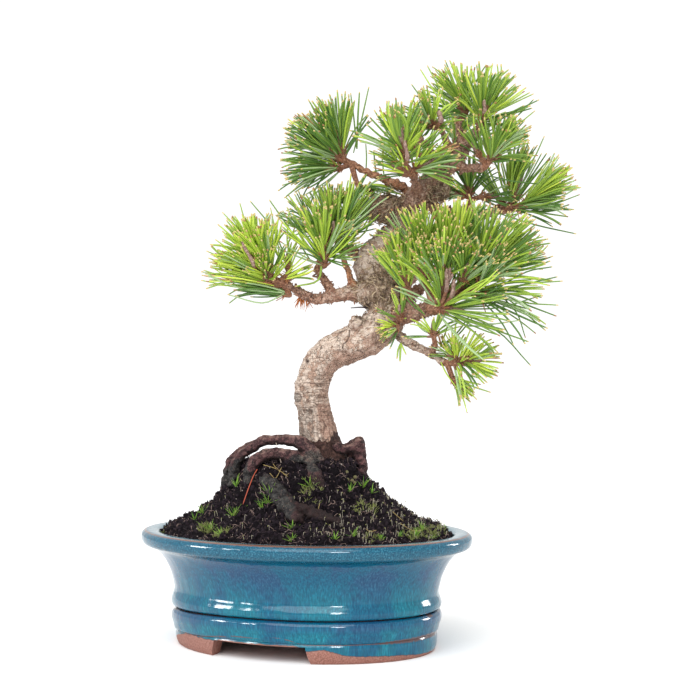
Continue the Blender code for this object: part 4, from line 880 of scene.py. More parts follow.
# Pine bark: pale beige-grey and fine-grained low down, brown and scaly on the boughs and the
# upper trunk, and dark red-brown where the trunk passes into its roots.
def pineBark():
    made, tree, shader = newMaterial("pineBark")
    grain = noiseNode(tree, (1.0, 1.0, 1.0), 0.0024, 5.0, 0.75)
    pore = noiseNode(tree, (1.0, 1.0, 1.0), 0.0009, 2.0, 0.6)
    patch = noiseNode(tree, (1.0, 1.0, 0.6), 0.011, 3.0)
    flake = noiseNode(tree, (1.0, 1.0, 0.85), 0.0042, 5.0, 0.62)
    pale = colourRamp(tree, grain, [(0.26, "#9d8577"), (0.42, "#bda797"), (0.56, "#d2bfb0"), (0.74, "#e4d7cb")])
    under = colourRamp(tree, grain, [(0.26, "#8a6c5c"), (0.44, "#ab8d7b"), (0.60, "#c3a491"), (0.76, "#d6beac")])
    pink = colourRamp(tree, grain, [(0.26, "#7a5a4c"), (0.44, "#a18070"), (0.60, "#bd9c8a"), (0.76, "#d1b5a4")])
    scaly = colourRamp(tree, grain, [(0.28, "#644a3e"), (0.44, "#9b7665"), (0.60, "#c39e8c"), (0.78, "#dfc4b5")])
    orange = colourRamp(tree, grain, [(0.30, "#7a452c"), (0.50, "#b07046"), (0.72, "#d29a6c")])
    burlBark = colourRamp(tree, grain, [(0.32, "#392c23"), (0.48, "#87705d"), (0.66, "#c8b29b")])
    rooty = colourRamp(tree, grain, [(0.30, "#1d1311"), (0.50, "#402b26"), (0.74, "#6e5149")])
    pale = mixColours(tree, between(tree, flake, 0.43, 0.46), under, pale)
    # Pink bark on the lower trunk's right side, and darker pink on undersides and on the side away from the light as
    # painted shade.
    pinkAndSideShade = mathNode(tree, "ADD", attributeNode(tree, "pinkAndSideShade"), mathNode(tree, "MULTIPLY", mathNode(tree, "SUBTRACT", patch, 0.5), 1.6))
    colour = mixColours(tree, between(tree, pinkAndSideShade, 0.25, 0.85), pale, pink)
    brown = mathNode(tree, "ADD", attributeNode(tree, "tone"), mathNode(tree, "SUBTRACT", patch, 0.5))
    colour = mixColours(tree, between(tree, brown, 0.30, 0.85), colour, scaly)
    colour = mixColours(tree, attributeNode(tree, "orange"), colour, orange)
    fibrous = mathNode(tree, "ADD", attributeNode(tree, "burl"), mathNode(tree, "MULTIPLY", patch, 0.4))
    colour = mixColours(tree, between(tree, fibrous, 0.50, 0.85), colour, burlBark)
    colour = mixColours(tree, mathNode(tree, "MULTIPLY", between(tree, pore, 0.62, 0.70), 0.5), colour, "#6a5145")
    colour = mixColours(tree, mathNode(tree, "MULTIPLY", between(tree, pore, 0.40, 0.32), 0.45), colour, "#e6dacd")
    # A thin dark line round each pale flake: painted shade under its lifted edge.
    edge = mathNode(tree, "MULTIPLY", between(tree, flake, 0.408, 0.428), between(tree, flake, 0.445, 0.430))
    plain = mathNode(tree, "SUBTRACT", 1.0, between(tree, attributeNode(tree, "burl"), 0.2, 0.5))
    colour = mixColours(tree, mathNode(tree, "MULTIPLY", mathNode(tree, "MULTIPLY", edge, plain), 0.55), colour, "#6b5043")
    cracks = mathNode(tree, "MAXIMUM", crackNode(tree, (1.0, 1.0, 0.7), 0.0052, 0.035, 0.50), crackNode(tree, (1.0, 1.0, 1.2), 0.0024, 0.05, 0.54))
    net = mathNode(tree, "MULTIPLY", crackNode(tree, (1.0, 1.0, 0.8), 0.0021, 0.09, 0.36), attributeNode(tree, "plated"))
    cracks = mathNode(tree, "MULTIPLY", mathNode(tree, "MAXIMUM", cracks, net), 0.75)
    wrinkle = between(tree, noiseNode(tree, (0.22, 0.22, 3.0), 0.0016, 3.0, 0.6), 0.54, 0.62)
    ridge = between(tree, noiseNode(tree, (2.6, 2.6, 0.35), 0.0032, 3.0, 0.6), 0.52, 0.62)
    lines = mathNode(tree, "ADD", mathNode(tree, "MULTIPLY", wrinkle, attributeNode(tree, "wrinkled")), mathNode(tree, "MULTIPLY", ridge, attributeNode(tree, "ridged")))
    colour = mixColours(tree, mathNode(tree, "MULTIPLY", lines, 0.6, True), colour, "#72584b")
    colour = mixColours(tree, cracks, colour, "#4c382e")
    # Darker where the relief sinks: partly dark inner bark in the cracks, partly painted shade in the hollows.
    colour = mixColours(tree, attributeNode(tree, "crackAndHollowShade"), colour, "#3a2a23")
    colour = mixColours(tree, attributeNode(tree, "greyed"), colour, "#7f7a72")
    colour = mixColours(tree, between(tree, attributeNode(tree, "rooty"), 0.35, 0.65), colour, rooty)
    tree.links.new(colour, shader.inputs["Base Color"])
    shader.inputs["Roughness"].default_value = 0.88
    shader.inputs["Specular IOR Level"].default_value = 0.25
    deep = mathNode(tree, "ADD", mathNode(tree, "MULTIPLY", lines, 0.5), mathNode(tree, "MULTIPLY", cracks, 1.2))
    relief = mathNode(tree, "ADD", mathNode(tree, "ADD", grain, pore), mathNode(tree, "MULTIPLY", between(tree, flake, 0.42, 0.45), 0.35))
    addBump(tree, shader, mathNode(tree, "SUBTRACT", relief, deep), 0.0007)
    return made


# Distance to the border between noise cells: 0 in a crack, growing to the middle of a plate.
def plateDepth(points, size):
    found = np.zeros(len(points))
    for k, point in enumerate(points):
        near, _ = noise.voronoi(Vector(point) / size)
        found[k] = near[1] - near[0]
    return found


# How near each x and z comes to a route, as 1 on it and 0 from twice its half-width away.
def nearRoute(x, z, route, half):
    nearest = np.full(len(x), 1.0)
    for (ax, az), (bx, bz) in zip(route[:-1], route[1:]):
        span = (bx - ax) ** 2 + (bz - az) ** 2
        share = np.clip(((x - ax) * (bx - ax) + (z - az) * (bz - az)) / span, 0, 1)
        nearest = np.minimum(nearest, np.hypot(x - ax - share * (bx - ax), z - az - share * (bz - az)))
    return np.clip(1.6 - nearest / half, 0, 1)


# How brown and how orange the bark is at each point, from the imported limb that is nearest.
def barkTones(points, names):
    tone, orange = np.zeros(len(points)), np.zeros(len(points))
    nearest = np.full(len(points), 0.0012)
    for name in names:
        if name == "trunk":
            continue
        limb = searchTree(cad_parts[name])
        corners = pointsOf(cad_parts[name].data)
        low, high = corners.min(axis=0) - 0.001, corners.max(axis=0) + 0.001
        for k in np.nonzero(((points > low) & (points < high)).all(axis=1))[0]:
            away = limb.find_nearest(Vector(points[k]))[3]
            if away < nearest[k]:
                nearest[k] = away
                tone[k], orange[k] = wood["tones"].get(name, wood["tones"]["other"])
    return tone, orange


def makeWood():
    names = ["trunk"] + sorted(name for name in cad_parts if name.startswith("bough"))
    made = remeshedNodes("wood_bark", names, wood["voxel"], wood["grow"], 3)
    points = pointsOf(made.data)
    normals = normalsOf(made.data)
    local = points - centreShift
    x, z = local[:, 0], local[:, 2]
    tone, orange = barkTones(points, names)
    farOut = np.clip((0.024 - x) / 0.03, 0, 1) * (z < 0.215) * (tone > 0) * (x < 0.03)
    tone = np.maximum(tone + 0.45 * farOut, 0.75 * np.clip((z - 0.236) / 0.022, 0, 1))
    burl = np.zeros(len(points))
    for middle, size in wood["burls"]:
        burl = np.maximum(burl, np.clip(1.35 - np.linalg.norm(local - np.array(middle), axis=1) / size, 0, 1))
    front = np.clip(-normals[:, 1] * 4 + 0.4, 0, 1) * (tone < 0.2)
    crackAndHollowShade = np.zeros(len(points))
    for route, half, strength in wood["cracks"]:
        crackAndHollowShade = np.maximum(crackAndHollowShade, strength * nearRoute(x, z, route, half) * front)
    (flapX, flapZ), flapSize = wood["flap"]
    flap = np.clip(1.5 - np.hypot(x - flapX, z - flapZ) / flapSize, 0, 1) * (tone < 0.2)
    (scarX, scarZ), scarSize = wood["scar"]
    fromScar = np.hypot(x - scarX, z - scarZ) / scarSize
    scarRing = np.exp(-((fromScar - 0.9) / 0.22) ** 2) * front
    (pitX, pitZ), pitSize = wood["pit"]
    pit = np.clip(1.5 - np.hypot(x - pitX, z - pitZ) / pitSize, 0, 1) * front
    wrinkled = np.clip(0.35 + np.exp(-((z - 0.146) / 0.012) ** 2), 0, 1) * (tone < 0.2)
    rings = np.sin(z / 0.00042 + 2.2 * noiseAt(local, 0.012, 2)) * wrinkled
    plated = np.clip((0.0066 - x) / 0.002, 0, 1) * np.clip((0.141 - z) / 0.004, 0, 1) * (tone < 0.2)
    scaly = np.clip(tone * 1.3, 0, 1)
    plates, scales = np.zeros(len(points)), np.zeros(len(points))
    chosen = np.nonzero((plated > 0) & (z < 0.142))[0]
    plates[chosen] = np.clip(1 - plateDepth(local[chosen] * np.array([1.0, 1.0, 0.7]), 0.0030) / 0.12, 0, 1) * plated[chosen]
    chosen = np.nonzero(scaly > 0.1)[0]
    scales[chosen] = np.clip(1 - plateDepth(local[chosen], 0.0024) / 0.2, 0, 1) * scaly[chosen]
    edge = wood["collar"] + 0.0032 * noiseAt(local * np.array([1.0, 1.0, 0.4]), 0.0042, 3)
    edge += 0.0022 * np.clip((-0.0005 - x) / 0.004, 0, 1) + 0.0060 * np.clip((x - 0.0135) / 0.0045, 0, 1)
    rooty = np.clip((edge - z) / 0.0006 + 0.5, 0, 1)
    rough = noiseAt(local, 0.0028, 3)
    lift = 0.00055 * noiseAt(local, 0.0055, 3) + 0.00040 * noiseAt(local, 0.0019, 2)
    lift += scaly * 0.0011 * rough - 0.0004 * scales - 0.00022 * plates + 0.0010 * flap * rough
    lift += 0.00007 * rings - 0.0004 * crackAndHollowShade - 0.0007 * pit - 0.0004 * scarRing + 0.0003 * (fromScar < 0.7) * front
    lift += 0.0014 * burl * rough + 0.0008 * rooty * noiseAt(local, 0.0040, 2) - 0.0006 * rooty
    made.data.vertices.foreach_set("co", (points + normals * lift[:, None]).astype(np.float32).ravel())
    made.data.update()
    # Darker where the relief sinks, in the cracks, the pit, the scar ring, plate and scale borders, ring troughs and
    # the flap's hollows: partly dark inner bark, partly painted shade.
    dark = np.maximum.reduce([crackAndHollowShade, pit, 0.8 * scarRing, 0.15 * plates, 0.45 * scales, 0.12 * np.clip(-rings, 0, 1), flap * np.clip(-2.2 * rough - 0.1, 0, 0.8)])
    setValues(made, "crackAndHollowShade", np.clip(dark, 0, 1))
    setValues(made, "greyed", 0.5 * (fromScar < 0.72) * front + 0.22 * plated)
    setValues(made, "plated", plated)
    setValues(made, "wrinkled", wrinkled)
    setValues(made, "ridged", np.clip((x - 0.0050) / 0.004, 0, 1) * np.clip((0.141 - z) / 0.004, 0, 1) * (tone < 0.2))
    # Undersides and right-facing sides get the darker pink as painted shade; the lower trunk's right side is pink bark.
    inside = np.clip(-normals[:, 2] * 0.8 + normals[:, 0] * 0.5 + 0.15, 0, 1)
    setValues(made, "pinkAndSideShade", np.clip(inside + 0.5 * np.clip((x - 0.0066) / 0.003, 0, 1) * (z < 0.141), 0, 1))
    setValues(made, "tone", tone)
    setValues(made, "orange", orange)
    setValues(made, "burl", burl)
    setValues(made, "rooty", rooty)
    dressPiece(made, pineBark(), "trunk_bark", *names)
    return made, tone * (orange < 0.6)


# Root bark: dark red-brown with a fine grain, grey-green where it has stood near the soil, near-black where it goes
# into the soil and on its undersides (painted shade there), and paler on its tops as painted light.
def rootBark():
    made, tree, shader = newMaterial("rootBark")
    grain = noiseNode(tree, (1.0, 1.0, 1.0), 0.0028, 5.0, 0.7)
    fine = noiseNode(tree, (1.0, 1.0, 1.0), 0.0008, 2.0)
    red = colourRamp(tree, grain, [(0.30, "#170d0f"), (0.46, "#392326"), (0.60, "#654242"), (0.78, "#9b7876")])
    mossy = colourRamp(tree, grain, [(0.30, "#100e10"), (0.46, "#232123"), (0.60, "#3b3a38"), (0.76, "#62615c")])
    colour = mixColours(tree, between(tree, attributeNode(tree, "mossy"), 0.30, 0.70), red, mossy)
    streaks = between(tree, noiseNode(tree, (1.0, 1.0, 1.0), 0.0018, 3.0, 0.7), 0.54, 0.66)
    colour = mixColours(tree, mathNode(tree, "MULTIPLY", mathNode(tree, "MULTIPLY", streaks, attributeNode(tree, "mossy")), 0.5, True), colour, "#6a6961")
    colour = mixColours(tree, mathNode(tree, "MULTIPLY", between(tree, fine, 0.58, 0.70), 0.45), colour, "#8a7064")
    # Painted light: the upward-facing tops of the roots turn paler.
    colour = mixColours(tree, mathNode(tree, "MULTIPLY", attributeNode(tree, "paintedTopLight"), between(tree, grain, 0.38, 0.60)), colour, "#93796d")
    colour = mixColours(tree, crackNode(tree, (1.0, 1.0, 1.0), 0.0040, 0.06, 0.46), colour, "#0e0908")
    # Near-black where the root is soiled by the soil, and on its undersides as painted shade.
    dampAndUndersideShade = mathNode(tree, "ADD", attributeNode(tree, "soiledAndUndersideShade"), mathNode(tree, "MULTIPLY", mathNode(tree, "SUBTRACT", grain, 0.5), 2.6))
    colour = mixColours(tree, mathNode(tree, "MULTIPLY", between(tree, dampAndUndersideShade, 0.25, 0.80), 0.80), colour, "#0f0a09")
    tree.links.new(colour, shader.inputs["Base Color"])
    shader.inputs["Roughness"].default_value = 0.75
    shader.inputs["Specular IOR Level"].default_value = 0.22
    addBump(tree, shader, mathNode(tree, "ADD", grain, fine), 0.0009)
    return made


def makeRoots():
    names = sorted(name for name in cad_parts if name.startswith("root_"))
    made = remeshedNodes("roots_bark", names, wood["voxel"], wood["grow"], 7)
    points = pointsOf(made.data)
    local = points - centreShift
    lift = 0.0009 * noiseAt(local, 0.0075, 3) + 0.00050 * noiseAt(local * np.array([0.5, 1.0, 1.0]), 0.0022, 2)
    lift += 0.0012 * np.clip((0.104 - local[:, 2]) / 0.003, 0, 1) * noiseAt(local * np.array([1.3, 1.0, 0.8]), 0.0030, 3)
    lift += 0.0006 * (local[:, 1] < -0.020) * (local[:, 2] < 0.104)
    for x, z, radius, height in wood["dents"]:
        lift += height * np.exp(-((local[:, 0] - x) ** 2 + (local[:, 2] - z) ** 2) / radius ** 2)
    made.data.vertices.foreach_set("co", (points + normalsOf(made.data) * lift[:, None]).astype(np.float32).ravel())
    made.data.update()
    # Upward-facing tops above the soil are marked paler: painted light.
    upward = np.clip(normalsOf(made.data)[:, 2], 0, 1) ** 1.5
    setValues(made, "paintedTopLight", upward * np.clip(0.55 + 0.8 * noiseAt(local, 0.005, 2), 0, 1) * np.clip((local[:, 2] - 0.104) / 0.006, 0, 1))
    low = np.clip((0.109 - local[:, 2]) / 0.010, 0, 1) * np.clip((0.004 - local[:, 0]) / 0.02, 0, 1)
    for x, z, radius in wood["mossy"]:
        low = np.maximum(low, np.clip(1.6 - np.hypot(local[:, 0] - x, local[:, 2] - z) / radius, 0, 1) * (local[:, 1] < 0.002))
    setValues(made, "mossy", np.clip(low + 0.5 * noiseAt(local, 0.006, 2), 0, 1))
    # Undersides are darker as painted shade; low roots by the soil are darker from the soil on them.
    under = np.clip(0.15 - 1.5 * normalsOf(made.data)[:, 2], 0, 1) * 0.75
    soiledAndUndersideShade = np.clip((0.1060 - local[:, 2]) / 0.010, 0, 1) * np.clip((local[:, 0] + 0.009) / 0.008, 0, 1) * 0.85
    setValues(made, "soiledAndUndersideShade", np.maximum(under, soiledAndUndersideShade))
    dressPiece(made, rootBark(), "root_bark", *names)
    return made


woodPiece, woodTone = makeWood()
rootPiece = makeRoots()
woodTree = searchTree(woodPiece)


# Dead scales and short stubs that stand off the boughs, and dry fibres wound over the burls.
def growOnWood():
    chance = np.random.default_rng(wood["seed"])
    searchWood = woodTree
    places, normals = pointsOf(woodPiece.data) - centreShift, normalsOf(woodPiece.data)
    rough = np.nonzero(woodTone > 0.4)[0]
    scales, flakes, fibres, paleFibres, hair = [], [], [], [], []
    for k in chance.choice(rough, wood["scales"]):
        way = unit(normals[k] + chance.normal(0.0, 0.60, 3))
        length = chance.uniform(0.0006, 0.0019) * (1.8 if chance.random() < 0.08 else 1.0)
        shares = np.array([-0.5, 0.2, 0.7, 1.0])[:, None]
        scales.append(np.column_stack([places[k] + way * shares * length, np.array([1.0, 0.8, 0.5, 0.2]) * chance.uniform(0.0003, 0.0007)]))
    for k in chance.choice(rough, 170):
        way = unit(normals[k] + chance.normal(0.0, 0.35, 3))
        shares = np.array([-0.3, 0.5, 1.0])[:, None] * chance.uniform(0.0012, 0.0030)
        scales.append(np.column_stack([places[k] + way * shares, np.array([1.0, 0.85, 0.45]) * chance.uniform(0.0006, 0.0011)]))
    smooth = np.nonzero((woodTone < 0.2) & (places[:, 2] > wood["collar"] + 0.003))[0]
    for k in chance.choice(smooth, wood["flakes"]):
        way = unit(unit(np.cross(normals[k], chance.normal(0.0, 1.0, 3))) + 0.30 * normals[k])
        length = chance.uniform(0.0006, 0.0015)
        shares = np.array([-0.8, 0.0, 0.6, 1.0])[:, None]
        flakes.append(np.column_stack([places[k] + way * shares * length, np.array([0.6, 1.0, 0.8, 0.3]) * chance.uniform(0.0002, 0.0005)]))
    for middle, size in wood["burls"][:3]:
        near = np.nonzero(np.linalg.norm(places - np.array(middle), axis=1) < size * 1.15)[0]
        for k in chance.choice(near, int(wood["fibres"] * (size / 0.015) ** 1.6 / 2.2)):
            way = unit(np.cross(normals[k], chance.normal(0.0, 1.0, 3)))
            bend = np.cross(normals[k], way) * chance.normal(0.0, 0.35)
            half = chance.uniform(0.0012, 0.0036)
            steps = np.linspace(-1.0, 1.0, 5)[:, None]
            raised = normals[k] * (0.0007 + chance.uniform(-0.0002, 0.0008) - 0.0006 * steps ** 2)
            line = places[k] + raised + (way * steps + bend * steps ** 2) * half
            kept = paleFibres if chance.random() < 0.5 else fibres
            kept.append(np.column_stack([line, np.array([0.4, 0.9, 1.0, 0.9, 0.3]) * chance.uniform(0.00020, 0.00044)]))
    for _ in range(34):
        below = Vector((chance.uniform(-0.0050, 0.0030), -0.0085 + chance.normal(0, 0.001), 0.2000)) + potCentre
        foot = np.array(searchWood.find_nearest(below)[0]) - centreShift
        way = unit(np.array([chance.normal(-0.25, 0.35), chance.normal(-0.2, 0.3), -1.0]))
        shares = np.array([0.0, 0.5, 1.0])[:, None]
        hair.append(np.column_stack([foot + way * shares * chance.uniform(0.003, 0.0065), [0.0003, 0.00022, 0.00010]]))
    sweptPiece("bark_scales", scales, plainCoat("deadBarkScale", "#946e5c", 0.85), "bough_bark", 4, 0.6)
    sweptPiece("bark_flakes", flakes, plainCoat("paleBarkFlake", "#9f8676", 0.9), "bough_bark", 4, 0.5)
    sweptPiece("dry_fibres", fibres, plainCoat("dryBrownFibre", "#86705a", 0.9), "bough_bark", 3)
    sweptPiece("pale_fibres", paleFibres, plainCoat("dryPaleFibre", "#bfa98e", 0.9), "bough_bark", 3)
    sweptPiece("orange_hair", hair, plainCoat("orangeDeadHair", "#b06a3c", 0.7), "bough_bark", 4)


growOnWood()
rootHair = smoothLine([(-0.0162, -0.0150, 0.1185, 0.0002), (-0.0120, -0.0215, 0.1040, 0.0002), (-0.0100, -0.0235, 0.1005, 0.0002), (-0.0118, -0.0258, 0.0945, 0.0001)], 6)
deadTwig = smoothLine([(0.0372, -0.0060, 0.1965, 0.0006), (0.0330, -0.0085, 0.1968, 0.0005), (0.0268, -0.0095, 0.1964, 0.0003)], 4)
sweptPiece("dead_twig", [deadTwig], plainCoat("greyDeadTwig", "#4d4548", 0.8), "bough_bark", 6)
sweptPiece("root_hair", [rootHair], plainCoat("paleRootHair", "#b5a497", 0.8), "root_bark", 4)
print("wood made")


# Foliage

foliage = {
    "pairsPerRound": 7.7,
    "needleWidth": 0.00069,     # half-width at the middle
    "flatness": 0.74,
    "pairAngle": 7.0,           # between the two needles of a pair, in degrees
    "sheathLength": 0.0032,
    "tipLength": 0.0011,
    "bend": 0.055,              # spread of the share of its length that a pair bows by
    "seed": 21,
    # Needle colours from light to dark, then bluish and dead. Each pair takes one by the age of its mass and by which
    # way it faces: pairs facing up take lighter tints and pairs facing down darker and bluish ones, which is painted
    # light, shade and sheen.
    "tints": [("lime", "#ccdf56"), ("fresh", "#b0cc48"), ("middle", "#91af42"), ("dark", "#71943c"), ("deep", "#527830"), ("bluish", "#9fb983"), ("dead", "#b5865a")],
}
# Each mass: the end of the limb that carries it and its radius, how old its needles look on the
# scale of tints, and its shoots as foot x, y, z, heading and tilt in degrees, twig length,
# reach, spread and rounds.
masses = {
    "needles_low_left": ((-0.0109, -0.0090, 0.2097, 0.0022), 0.7, [
        (-0.0257, -0.0080, 0.2178, 117, 5, 0.014, 0.0286, 52, 6, -0.2),
        (-0.0192, -0.0100, 0.2119, 101, 20, 0.011, 0.0318, 48, 5, 0.2),
        (-0.0150, -0.0095, 0.2088, 160, -6, 0.004, 0.0410, 16, 5),
        (-0.0095, -0.0060, 0.2133, 91, -18, 0.012, 0.0160, 40, 1),
        (-0.0131, -0.0110, 0.2130, 19, 16, 0.004, 0.0187, 22, 1),
        (-0.0085, -0.0095, 0.2040, 172, 4, 0.004, 0.0330, 13, 2, 2.2),
        (-0.0210, -0.0120, 0.2128, 100, 50, 0.010, 0.0170, 45, 3, 0.4),
    ]),
    "needles_mid_left": ((0.0073, -0.0027, 0.2189, 0.0021), 1.5, [
        (0.0140, 0.0010, 0.2360, 87, 0, 0.015, 0.0268, 60, 5, 0.3),
        (0.0110, 0.0000, 0.2380, 134, 0, 0.006, 0.0285, 24, 2, 0.8),
        (0.0160, 0.0000, 0.2380, 40, 0, 0.006, 0.0255, 24, 2, 0.6),
        (0.0118, -0.0080, 0.2208, 96, 22, 0.013, 0.0325, 50, 5, -0.2),
        (0.0091, -0.0040, 0.2264, 24, 10, 0.006, 0.0222, 50, 2),
    ]),
    "needles_inner_left": ((0.0211, -0.0030, 0.2304, 0.0016), 2.0, [
        (0.0193, -0.0030, 0.2357, 58, 4, 0.009, 0.0385, 26, 3),
        (0.0274, 0.0000, 0.2440, 92, 0, 0.010, 0.0185, 34, 3),
    ]),
    "needles_upper_left": ((0.0291, 0.0093, 0.2809, 0.0021), 2.9, [
        (0.0231, 0.0100, 0.2846, 156, -4, 0.015, 0.0327, 63, 6),
        (0.0225, 0.0070, 0.2850, 107, 12, 0.015, 0.0308, 44, 5),
        (0.0215, 0.0080, 0.2840, 136, 4, 0.008, 0.0350, 22, 3, -0.4),
        (0.0217, 0.0090, 0.2799, 186, 14, 0.007, 0.0354, 28, 3),
        (0.0308, 0.0060, 0.2693, -36, 5, 0.009, 0.0271, 40, 3),
    ]),
    "needles_front_centre": ((0.0626, -0.0168, 0.2734, 0.0022), 1.51, [
        (0.0578, -0.0220, 0.2785, 97, 24, 0.012, 0.0324, 67, 5),
        (0.0604, -0.0200, 0.2725, 152, 12, 0.006, 0.0205, 38, 2),
        (0.0630, -0.0180, 0.2753, 27, 12, 0.004, 0.0269, 56, 3),
    ]),
    "needles_top_left": ((0.0590, 0.0080, 0.3025, 0.0018), 1.6, [
        (0.0529, 0.0080, 0.3001, 90, 0, 0.007, 0.0133, 59, 4),
    ]),
    "needles_top_front": ((0.0790, -0.0120, 0.3003, 0.0018), 1.6, [
        (0.0736, -0.0140, 0.3005, 102, 42, 0.005, 0.0211, 78, 6),
    ]),
    "needles_top": ((0.1013, 0.0000, 0.3008, 0.0020), 1.4, [
        (0.1026, 0.0000, 0.3035, 74, 4, 0.011, 0.0312, 70, 8, 0.3),
    ]),
    "needles_top_second": ((0.0900, 0.0074, 0.3064, 0.0019), 1.7, [
        (0.0949, 0.0082, 0.3115, 119, -4, 0.006, 0.0304, 55, 5),
    ]),
    "needles_top_right": ((0.1038, -0.0084, 0.2783, 0.0024), 2.1, [
        (0.1073, -0.0112, 0.2810, 56, 8, 0.011, 0.0256, 60, 7, 0.2),
        (0.1041, -0.0100, 0.2806, 124, 14, 0.008, 0.0214, 40, 1),
    ]),
    "needles_right": ((0.1173, 0.0140, 0.2552, 0.0026), 1.7, [
        (0.1217, 0.0160, 0.2556, 75, -8, 0.014, 0.0345, 27, 5, 0.5),
        (0.1278, 0.0120, 0.2573, 38, 6, 0.012, 0.0310, 23, 5, -0.4),
        (0.1193, 0.0120, 0.2561, 5, 12, 0.009, 0.0351, 24, 2, 0.6),
        (0.1187, 0.0160, 0.2563, 124, -10, 0.005, 0.0300, 24, 1, 0.8),
    ]),
    "needles_centre": ((0.0975, 0.0146, 0.2586, 0.0019), 3.0, [
        (0.0978, 0.0150, 0.2631, 100, 0, 0.008, 0.0222, 58, 3),
        (0.0969, 0.0120, 0.2625, 165, 10, 0.008, 0.0200, 36, 2),
        (0.1030, 0.0120, 0.2625, 4, 10, 0.006, 0.0200, 34, 1),
    ]),
    "needles_front_left": ((0.0616, -0.0250, 0.2024, 0.0020), 1.4, [
        (0.0597, -0.0266, 0.2058, 107, 8, 0.015, 0.0282, 30, 5),
    ]),
    "needles_front_middle": ((0.0730, -0.0210, 0.2140, 0.0024), 1.4, [
        (0.0700, -0.0250, 0.2200, 104, 16, 0.012, 0.0310, 50, 5),
        (0.0800, -0.0270, 0.2200, 88, 18, 0.012, 0.0300, 42, 4),
        (0.0851, -0.0250, 0.2215, 66, 8, 0.010, 0.0342, 35, 4),
    ]),
    "needles_front": ((0.0738, -0.0340, 0.1963, 0.0038), 1.7, [
        (0.0764, -0.0390, 0.1950, 76, 28, 0.017, 0.0388, 60, 6),
        (0.0680, -0.0380, 0.2130, 104, 38, 0.009, 0.0218, 36, 3, -0.3),
        (0.0780, -0.0430, 0.2115, 92, 40, 0.009, 0.0230, 40, 4, 0.2),
        (0.0890, -0.0430, 0.2095, 78, 38, 0.009, 0.0236, 38, 3, 0.4),
        (0.0985, -0.0390, 0.2080, 60, 34, 0.009, 0.0245, 36, 3, 0.8),
        (0.0742, -0.0400, 0.1953, -5, 18, 0.008, 0.0425, 44, 2),
    ]),
    "needles_front_right": ((0.0895, -0.0277, 0.2037, 0.0024), 2.0, [
        (0.0976, -0.0300, 0.2100, 69, 14, 0.011, 0.0422, 53, 4),
        (0.1081, -0.0220, 0.2150, 35, -4, 0.006, 0.0328, 37, 5),
        (0.0956, -0.0320, 0.2036, -8, 4, 0.006, 0.0416, 37, 2),
        (0.0998, -0.0260, 0.2175, 49, 10, 0.010, 0.0384, 24, 2),
        (0.0868, -0.0330, 0.2052, 32, 10, 0.004, 0.0302, 33, 2),
    ]),
    "needles_low_right": ((0.0797, -0.0215, 0.1648, 0.0019), 0.6, [
        (0.0853, -0.0240, 0.1642, 10, 14, 0.012, 0.0226, 76, 5),
        (0.0850, -0.0225, 0.1560, -48, -8, 0.004, 0.0150, 28, 2),
        (0.0865, -0.0250, 0.1668, 132, 10, 0.004, 0.0147, 58, 2),
    ]),
    "needles_low_inner": ((0.0746, -0.0290, 0.1758, 0.0016), 1.8, [
        (0.0738, -0.0320, 0.1795, 92, 10, 0.004, 0.0175, 76, 2),
    ]),
    "needles_trunk_tuft": ((0.0520, -0.0100, 0.1870, 0.0018), 1.0, [
        (0.0555, -0.0215, 0.1895, 96, 30, 0.004, 0.0160, 62, 1),
        (0.0539, -0.0215, 0.1850, 194, 30, 0.004, 0.0121, 47, 2),
    ]),
    "needles_back_right": ((0.0740, 0.0420, 0.2210, 0.0025), 2.6, [
        (0.0880, 0.0480, 0.2250, 52, -34, 0.012, 0.0320, 60, 5),
        (0.0660, 0.0500, 0.2240, 118, -34, 0.012, 0.0310, 58, 5),
    ]),
    "needles_back_top": ((0.0800, 0.0380, 0.2920, 0.0020), 2.4, [
        (0.0900, 0.0420, 0.2960, 66, -34, 0.011, 0.0300, 60, 5),
        (0.0700, 0.0420, 0.2910, 122, -34, 0.011, 0.0280, 58, 4),
    ]),
    "needles_back_left": ((0.0190, 0.0400, 0.2380, 0.0022), 3.7, [
        (0.0170, 0.0440, 0.2410, 102, -30, 0.012, 0.0300, 62, 6),
    ]),
}
# Long winter buds that stand up before the needles: foot on the limb, base, top and girth.
candles = [
    ((-0.0257, -0.0080, 0.2178), (-0.0285, -0.0235, 0.2200), (-0.0350, -0.0245, 0.2340), 0.0012),
    ((0.0764, -0.0390, 0.1950), (0.0796, -0.0500, 0.2047), (0.0802, -0.0520, 0.2175), 0.0013),
    ((0.0764, -0.0390, 0.1950), (0.0826, -0.0490, 0.2015), (0.0846, -0.0510, 0.2115), 0.0014),
    ((0.0578, -0.0220, 0.2785), (0.0586, -0.0330, 0.2795), (0.0576, -0.0345, 0.2905), 0.0013),
    ((0.0736, -0.0140, 0.3005), (0.0780, -0.0230, 0.3020), (0.0776, -0.0240, 0.3090), 0.0018),
    ((0.1026, 0.0000, 0.3035), (0.1040, -0.0100, 0.3090), (0.1045, -0.0110, 0.3170), 0.0013),
    ((0.0132, 0.0010, 0.2319), (0.0165, -0.0090, 0.2390), (0.0172, -0.0100, 0.2470), 0.0012),
]
